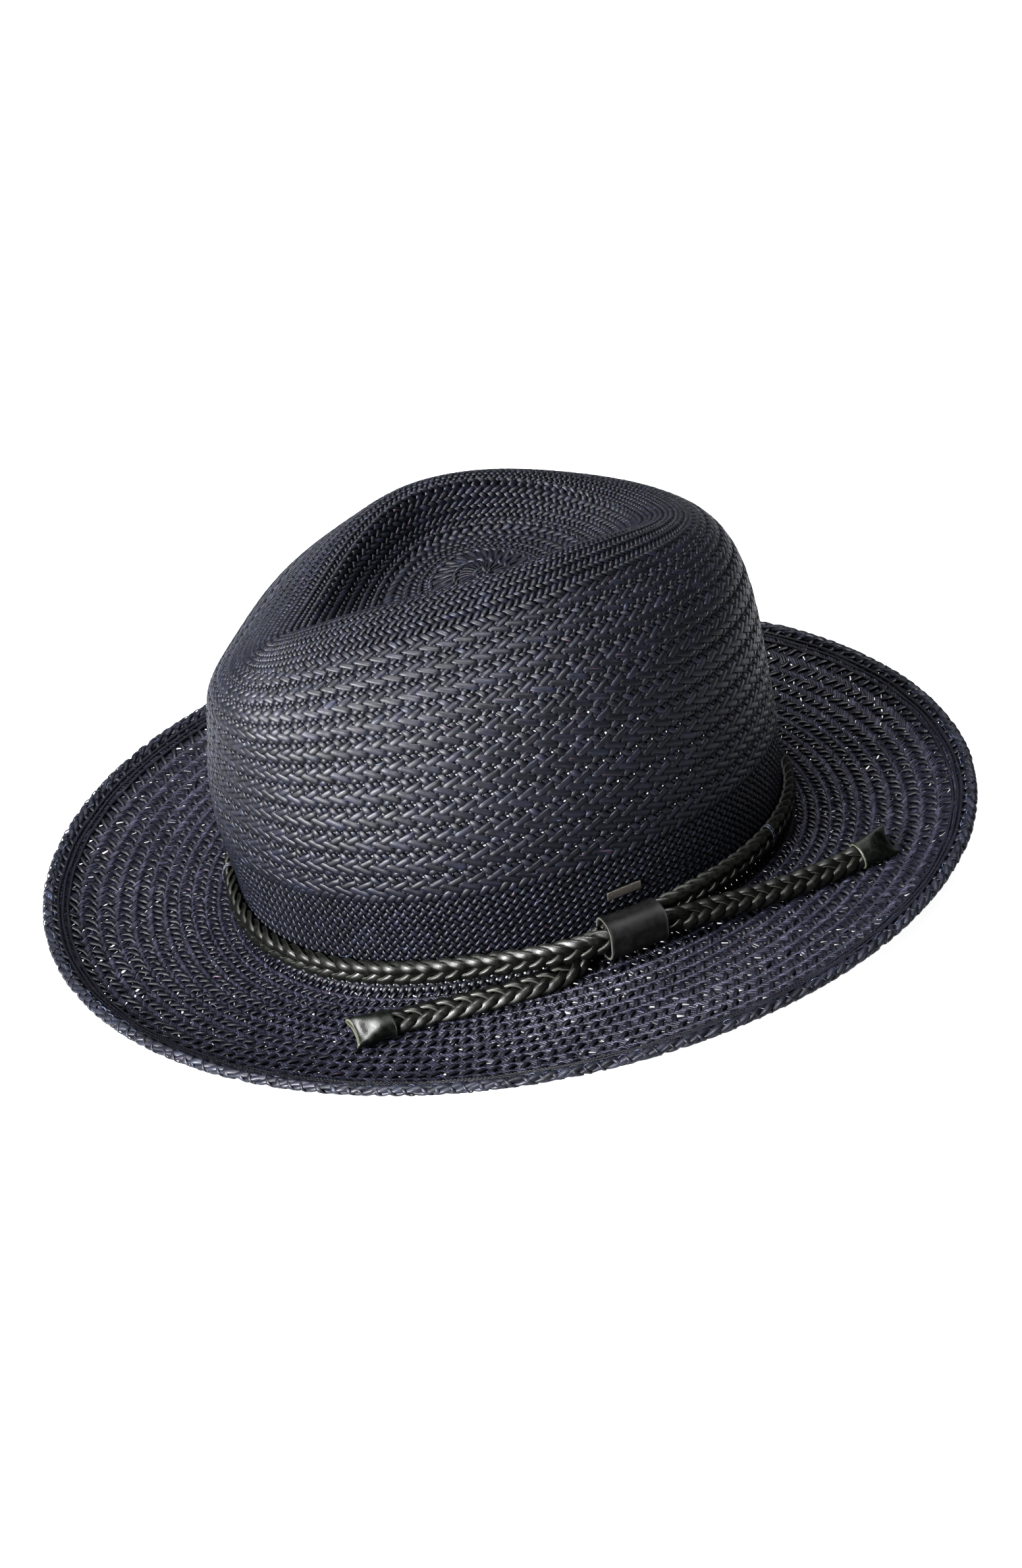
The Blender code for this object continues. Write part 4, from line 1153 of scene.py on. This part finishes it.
def edge_wraps(name, count=210):
    """Straw ends that slant over the roll from the brim's upper face to its lower one."""
    share = np.linspace(0, 1, 11)[None]
    start = (np.arange(count)[:, None] + draw.uniform(-0.25, 0.25, (count, 1))) * TURN / count
    slant = draw.uniform(0.018, 0.034, (count, 1))
    angle = start + slant * share
    line, onward = edge_line(angle, GAP + EDGE_WIDTH / 2)
    upward = np.zeros_like(line) + [0, 0, 1.0]
    turn = math.pi * (1.06 - 1.12 * share) + 0 * angle
    reach = draw.uniform(0.98, 1.12, (count, 1))
    out = (EDGE_WIDTH / 2 + 0.15 * MM) * reach * np.sin(turn) - 0.5 * MM * (np.sin(turn) < 0.1)
    high = (EDGE_THICK / 2 + 0.10 * MM) * reach * -np.cos(turn)
    centre = line + onward * out[..., None] + upward * high[..., None]
    normal = unit(onward * np.sin(turn)[..., None] + upward * -np.cos(turn)[..., None])
    width = draw.uniform(0.9, 1.9, (count, 1)) * MM * np.sin(math.pi * (0.12 + 0.76 * share))
    across, rise = oval(1.0, 1.0, 5)
    return strands(name, centre, normal, width[..., None] * across,
                   0.42 * MM * rise, seeds=draw.random(count))


edge_straw = paper_straw("rolled_paper_straw", "#060609", "#101117", "#292b35", 0.40, 0.02)
roll = rolled_edge("rolled_edge")
dress(roll, edge_straw, replaces=["brim_edge_braid"])
wraps = edge_wraps("rolled_edge_wraps")
dress(wraps, edge_straw, replaces=["brim_edge_braid"])

# %% [markdown]
# ## The sweatband
# Inside, a strip of thin leather is sewn to the straw along its lower edge over a plastic reed,
# and leans away from the straw towards its free upper edge.  Its section is a long thin loop
# carried round the wall; the free edge waves a little, as leather held only at one edge does.

# %% Sweatband, reed and stitches
SWEAT_HEIGHT = 30.0 * MM
SWEAT_LEATHER = 1.0 * MM
SWEAT_LEAN = 3.0 * MM
SWEAT_BOTTOM = -4.0 * MM
REED = 1.6 * MM
THREAD = 0.8 * MM


def sweat_offset(level):
    """How far inside the straw the sweatband's middle lies, more towards its free edge."""
    share = np.clip((level - SWEAT_BOTTOM) / SWEAT_HEIGHT, 0, 1)
    return -(STRAW / 2 + GAP + SWEAT_LEATHER / 2 + 2 * SLACK + SWEAT_LEAN * share ** 0.8)


def sweat_face(level):
    """How far inside the straw a flat trim's back lies, clear of the leaning sweatband."""
    return sweat_offset(level) - SWEAT_LEATHER / 2 - GAP - SWEAT_LEAN * 0.2


def make_sweatband():
    """The strip's section climbs the wall; angle runs round the hat."""
    half = SWEAT_LEATHER / 2
    share, off, past = (part[:, None] for part in strip_outline(0, 1, 15, half, 1.0))
    angle = (np.arange(300) * TURN / 300)[None]
    level = SWEAT_BOTTOM + half + (SWEAT_HEIGHT - 2 * half) * share + past + 0 * angle
    wave = 0.35 * MM * share ** 2 * (np.sin(9 * angle) + 0.6 * np.sin(16 * angle + 1))
    rings = wall(angle, level, sweat_offset(level) + off + wave)
    return shell_tube("sweatband_leather", rings, 0 * share[:, 0])


def running_stitches(name, count, level, inset, length=0.62):
    """Stitches in a row: each rises from one hole in the leather and dips into the next."""
    share = np.linspace(0, 1, 9)[None]
    angle = (np.arange(count)[:, None] + (share - 0.5) * length) * TURN / count
    proud = THREAD * 0.62 * np.sin(math.pi * share) - THREAD * 0.35
    centre = wall(angle, level + 0 * angle, inset - proud + 0 * angle)
    _, _, outward = wall_axes(angle, level, inset)
    across, rise = oval(THREAD * 0.72, THREAD * 0.72, 6)
    return strands(name, centre, -outward, across, rise)


def spun_thread(name, dark, pale):
    """Waxed polyester thread: two plies twisted every millimetre, dull with a soft edge."""
    made, tree, shader = new_finish(name, Roughness=0.6)
    strand = add(tree, "Attribute", attribute_name="strand")
    slant = add(tree, "Mapping", {"Vector": strand.outputs["Vector"],
                                  "Scale": (900.0, 1500.0, 3.0)})
    ply = add(tree, "TexWave", {"Vector": slant.outputs["Vector"], "Scale": 0.35,
                                "Distortion": 0.6, "Detail": 2.0}, bands_direction="DIAGONAL")
    colour = add(tree, "ValToRGB", {"Fac": ply.outputs["Fac"]}, stops=[(0.2, dark), (0.9, pale)])
    coat(tree, shader, colour.outputs["Color"], None, ply.outputs["Fac"], 0.6, 0.08 * MM)
    return made


def moulded_reed():
    """Extruded nylon: near black and semi-gloss, with faint draw lines along it."""
    made, tree, shader = new_finish("extruded_nylon")
    strand = add(tree, "Attribute", attribute_name="strand")
    lines = add(tree, "Mapping", {"Vector": strand.outputs["Vector"],
                                  "Scale": (30.0, 5000.0, 1.0)})
    drawn = add(tree, "TexNoise", {"Vector": lines.outputs["Vector"], "Scale": 1.0})
    colour = add(tree, "ValToRGB", {"Fac": drawn.outputs["Fac"]},
                 stops=[(0.3, "#15161a"), (0.7, "#24262b")])
    gloss = add(tree, "MapRange", {"Value": drawn.outputs["Fac"], "To Min": 0.28, "To Max": 0.45})
    coat(tree, shader, colour.outputs["Color"], gloss.outputs[0])
    return made


thread_finish = spun_thread("waxed_polyester_thread", "#0f1117", "#2a2d38")
sweat_finish = leather("skived_sheep_leather", "#131416", "#1b1c1f", "#2a2b2f", "#39393a", 0.48)
sweatband = make_sweatband()
dress(sweatband, sweat_finish, replaces=["sweatband"])

stitch_level = SWEAT_BOTTOM + 3.0 * MM
stitch_inset = sweat_offset(stitch_level) - SWEAT_LEATHER / 2
stitches = running_stitches("sweatband_stitches", 190, stitch_level, stitch_inset)
dress(stitches, thread_finish, replaces=["sweatband_stitching"])

reed_angle = (np.arange(420) * TURN / 420)[None]
reed_drop = GAP + REED / 2 + SLACK
reed_line = wall(reed_angle, SWEAT_BOTTOM, sweat_offset(SWEAT_BOTTOM) - 0.4 * MM)
reed_line = reed_line - np.array([0, 0, reed_drop])
_, _, reed_out = wall_axes(reed_angle, SWEAT_BOTTOM, 0.0)
reed = strands("sweatband_reed_cord", reed_line, reed_out, *oval(REED, REED, 12), closed=True)
dress(reed, moulded_reed(), replaces=["sweatband_reed"])

# %% [markdown]
# ## Bow and size tab
# A little ribbon bow over the sweatband's seam tells the wearer where the back is.  It is two
# loops of ribbon under a knot: each loop is the ribbon's flat section carried out and back, wider
# at its end.  Beside it is a blank woven tab.


# %% Ribbon and tape
def woven_ribbon(name, dark, pale, pick, gloss=0.42):
    """Ribbed ribbon: fine ribs across it, one every pick, with a soft silky shine."""
    made, tree, shader = new_finish(name, Roughness=gloss, Sheen_Weight=0.3)
    place = add(tree, "TexCoord")
    across = add(tree, "TexWave", {"Vector": place.outputs["Object"], "Scale": 0.31 / pick,
                                   "Distortion": 0.5, "Detail": 1.0}, bands_direction="X")
    upward = add(tree, "TexWave", {"Vector": place.outputs["Object"], "Scale": 0.16 / pick,
                                   "Distortion": 0.5, "Detail": 1.0}, bands_direction="Z")
    cloth = add(tree, "Math", {0: across.outputs["Fac"], 1: 0.6}, operation="MULTIPLY")
    cloth = add(tree, "Math", {0: upward.outputs["Fac"], 1: 0.4, 2: cloth.outputs[0]},
                operation="MULTIPLY_ADD")
    colour = add(tree, "ValToRGB", {"Fac": cloth.outputs[0]}, stops=[(0.2, dark), (0.9, pale)])
    coat(tree, shader, colour.outputs["Color"], None, cloth.outputs[0])
    return made


def trim_frame(degrees, level, half_length):
    """A trim's place inside the sweatband, clear of the curved leather behind its ends."""
    angle = math.radians(degrees)
    _, _, radius = wall_curve(angle)
    inset = sweat_face(level) - half_length ** 2 / 2 / radius
    along, upward, outward = wall_axes(angle, level, inset)
    return wall(angle, level, inset), along, upward, outward


def ribbon_bow():
    level = SWEAT_BOTTOM + 13.0 * MM
    half, knot, thick = 15.0 * MM, 2.8 * MM, 0.45 * MM
    place, along, upward, outward = trim_frame(90, level, half)
    # each loop leaves the knot, swells out into the hat and comes back against the leather
    turn = np.linspace(0.06, 1, 40)[None] * math.pi
    side = np.array([[1.0], [-1.0]])
    reach = knot * 0.4 + (half - knot * 0.4) * np.sin(turn) ** 0.8
    belly = 0.75 * MM * np.cos(turn)
    middle = (place + along * (side * reach)[..., None] - outward * (belly + 0 * side)[..., None])
    broad = 2.3 * MM + 3.0 * MM * (reach / half) ** 0.8 + 0 * side
    direction = unit(np.gradient(middle, axis=1))
    normal = np.cross(np.broadcast_to(upward, middle.shape), direction)
    across, rise = oval(2.0, 1.0, 14, square=5.0)
    loops = strands("bow_loops", middle, normal, broad[..., None] * across, thick * rise)
    # the knot is a short band wrapped upright round the loops' middle
    wrap = np.arange(28)[None] * TURN / 28
    ring = place + upward * (2.9 * MM * np.cos(wrap))[..., None] - outward * (
        1.35 * MM * np.sin(wrap))[..., None]
    facing = upward * np.cos(wrap)[..., None] - outward * np.sin(wrap)[..., None]
    across, rise = oval(2 * knot * 0.85, 0.6 * MM, 14, square=5.0)
    band = strands("bow_knot", ring, facing, across, rise, closed=True)
    return loops, band


def flat_plate(name, place, axes, length, height, thick, corner, soften):
    """A thin plate: rounded rectangles stacked through its thickness, drawn in at each face."""
    along, upward, outward = axes
    turn = TURN * (np.arange(48) + 0.5) / 48
    side_x = np.where(np.cos(turn) > 0, 1, -1)
    side_y = np.where(np.sin(turn) > 0, 1, -1)
    arc = np.radians(np.linspace(-90, 90, 9))
    rings = []
    for out, inset in zip(np.sign(arc) * (thick / 2 - soften) + soften * np.sin(arc),
                          soften * (1 - np.cos(arc))):
        x = side_x * (length / 2 - corner) + (corner - inset) * np.cos(turn)
        y = side_y * (height / 2 - corner) + (corner - inset) * np.sin(turn)
        rings.append(place + along * x[:, None] + upward * y[:, None] + outward * out)
    rings = np.array(rings)
    quads, ends = tube_faces(1, len(rings), 48, False)
    item = put_mesh(name, rings.reshape(-1, 3), quads, ends)
    item.data.set_sharp_from_angle(angle=math.radians(50))
    return item


ribbon_finish = woven_ribbon("grosgrain_ribbon", "#0e1018", "#23273a", 0.5 * MM)
bow_loops, bow_knot = ribbon_bow()
dress(bow_loops, ribbon_finish, replaces=["sweatband_bow"])
dress(bow_knot, ribbon_finish, replaces=["sweatband_bow"])

LABEL_ANGLE, LABEL_LEVEL = 122, SWEAT_BOTTOM + 17.0 * MM
LABEL_LENGTH, LABEL_HEIGHT, TAPE = 18.0 * MM, 11.0 * MM, 0.5 * MM
label_place, *label_axes = trim_frame(LABEL_ANGLE, LABEL_LEVEL, LABEL_LENGTH / 2)
label = flat_plate("size_tab", label_place, label_axes, LABEL_LENGTH, LABEL_HEIGHT, TAPE,
                   corner=0.6 * MM, soften=0.12 * MM)
dress(label, woven_ribbon("taffeta_tape", "#2a2b2f", "#4a4b50", 0.4 * MM, gloss=0.7),
      replaces=["size_label"])

# %% [markdown]
# ## The side plate and the tacks
# A small gunmetal bar sits on the crown just over the keeper.  Two prongs go through the straw
# and are bent over a thin clip inside.  Four loops of thread hold the plait to the straw.


# %% Gunmetal bar, prongs and clip
def gunmetal():
    """Zinc alloy with a black nickel plate, brushed lengthwise: dark, with a soft long glint."""
    made, tree, shader = new_finish("black_nickel_plate", Metallic=0.9)
    place = add(tree, "TexCoord")
    stretch = add(tree, "Mapping", {"Vector": place.outputs["Object"],
                                    "Scale": (700.0, 700.0, 9000.0)})
    brush = add(tree, "TexNoise", {"Vector": stretch.outputs["Vector"], "Scale": 1.0,
                                   "Detail": 3.0})
    colour = add(tree, "ValToRGB", {"Fac": brush.outputs["Fac"]},
                 stops=[(0.3, "#4a4744"), (0.7, "#6a6762")])
    gloss = add(tree, "MapRange", {"Value": brush.outputs["Fac"], "To Min": 0.30, "To Max": 0.55})
    coat(tree, shader, colour.outputs["Color"], gloss.outputs[0], brush.outputs["Fac"], 0.15,
         0.02 * MM)
    return made


PLATE_ANGLE = math.radians(-6.3)
PLATE_RISE = 12.8 * MM
PLATE_LENGTH, PLATE_HEIGHT, PLATE_THICK = 13.4 * MM, 3.0 * MM, 0.9 * MM
PRONG = 1.0 * MM
PRONG_SPACING = 8.6 * MM
CLIP_LENGTH = 11.2 * MM
CLIP_THICK = 0.5 * MM

metal = gunmetal()
plate_out = STRAW / 2 + GAP + PLATE_THICK / 2 + SLACK
plate_axes = wall_axes(PLATE_ANGLE, PLATE_RISE, plate_out)
plate = flat_plate("side_bar", wall(PLATE_ANGLE, PLATE_RISE, plate_out), plate_axes,
                   PLATE_LENGTH, PLATE_HEIGHT, PLATE_THICK, corner=0.28 * MM, soften=0.16 * MM)
dress(plate, metal, replaces=["side_plate"])

wall_bulge = (CLIP_LENGTH / 2) ** 2 / 2 / KEEPER_RADIUS
clip_in = -(STRAW / 2 + GAP + CLIP_THICK / 2 + wall_bulge + 2 * SLACK)
clip_place = wall(PLATE_ANGLE, PLATE_RISE, clip_in)
clip = flat_plate("side_bar_clip", clip_place, plate_axes, CLIP_LENGTH, PLATE_HEIGHT, CLIP_THICK,
                  corner=0.5 * MM, soften=0.1 * MM)
dress(clip, metal, replaces=["side_plate_clip"])


def bent_prongs(name):
    """Two straps: straight in from the bar, then round a quarter turn and along the clip."""
    along, upward, outward = plate_axes
    inner = clip_in - CLIP_THICK / 2 - GAP
    radius, foot_length = 0.6 * MM, 2.2 * MM
    straight = np.linspace(plate_out, inner + radius, 8)
    bend = np.linspace(0, math.pi / 2, 6)[1:]
    out = np.concatenate([straight, inner + radius - radius * np.sin(bend), [inner]])
    past = np.concatenate([0 * straight, radius * (1 - np.cos(bend)), [foot_length]])
    side = np.array([[1.0], [-1.0]])
    foot = wall(PLATE_ANGLE, PLATE_RISE, 0.0)
    centre = (foot + along * (side * (PRONG_SPACING / 2 - past[None]))[..., None]
              + outward * (out[None] + 0 * side)[..., None])
    normal = np.cross(np.broadcast_to(upward, centre.shape), unit(np.gradient(centre, axis=1)))
    return strands(name, centre, normal, *oval(PRONG, 0.35 * MM, 12, square=5.0))


dress(bent_prongs("side_bar_prongs"), metal, replaces=["side_plate"])

# %% Thread tacks
TACK_ANGLES = {"left": 34.0, "back": 120.0, "right": 180.0, "front": 243.0}


def tack(name, degrees):
    """Two passes of thread over the plait, side by side, from under it to over it."""
    rest = STRAW / 2 + GAP + BRAID_THICK / 2 + SLACK
    half_high = BRAID_WIDTH / 2 + GAP + THREAD / 2
    half_out = BRAID_THICK / 2 + THREAD / 2
    bend = np.radians(np.linspace(-118, 118, 30))[None]
    spread = np.array([[-1.0], [1.0]]) * math.radians(0.22)
    angle = math.radians(degrees) + spread * (1 + 0.5 * np.sin(bend))
    level = half_high * np.sin(bend) + 0 * angle
    out = rest + half_out * np.cos(bend) + 0 * angle
    centre = wall(angle, 0.0 * angle, out) + level[..., None] * np.array([0, 0, 1.0])
    _, _, outward = wall_axes(angle, 0.0, 0.0)
    normal = outward * np.cos(bend)[..., None] + np.array([0, 0, 1.0]) * np.sin(bend)[..., None]
    return strands(name, centre, normal, *oval(THREAD * 0.7, THREAD * 0.7, 8))


for place_name, degrees in TACK_ANGLES.items():
    stitch = tack(f"thread_tack_{place_name}", degrees)
    dress(stitch, thread_finish, replaces=[f"band_tack_{place_name}"])

# %% [markdown]
# ## Loose fibres
# Paper straw frays.  Short hairs stand off the rolled edge and a few off the weave.


# %% Loose fibres
def stray_fibres(name, count):
    """Thin bent hairs: each leaves the straw slantwise and curls back towards it."""
    share = np.linspace(0, 1, 6)[None]
    start = draw.random((count, 1)) * TURN
    row = np.where(draw.random((count, 1)) < 0.7, EDGE_ROW + draw.uniform(0.0, 0.22, (count, 1)),
                   draw.uniform(5.0, EDGE_ROW, (count, 1)))
    girth = np.interp(row, row_table, girth_table)
    length = draw.uniform(1.5, 5.5, (count, 1)) * MM
    angle = start + draw.choice([-1.0, 1.0], (count, 1)) * length / girth * TURN * share
    row = row + draw.uniform(-0.03, 0.05, (count, 1)) * share
    face = draw.choice([-1.0, 1.0, 1.0], (count, 1))
    normal = surface_normal(angle, row)
    proud = (0.6 * MM + draw.uniform(0.1, 0.9, (count, 1)) * MM * np.sin(math.pi * 0.8 * share))
    centre = surface(angle, row) + normal * (face * proud)[..., None]
    taper = (1 - 0.7 * share)[..., None]
    across, rise = oval(0.14 * MM, 0.14 * MM, 3)
    return strands(name, centre, normal, taper * across, taper * rise, seeds=draw.random(count))


fibre_finish = paper_straw("frayed_paper_fibre", "#2a3145", "#59617a", "#9aa3b8", 0.5, 0.4)
dress(stray_fibres("loose_fibres", 420), fibre_finish)
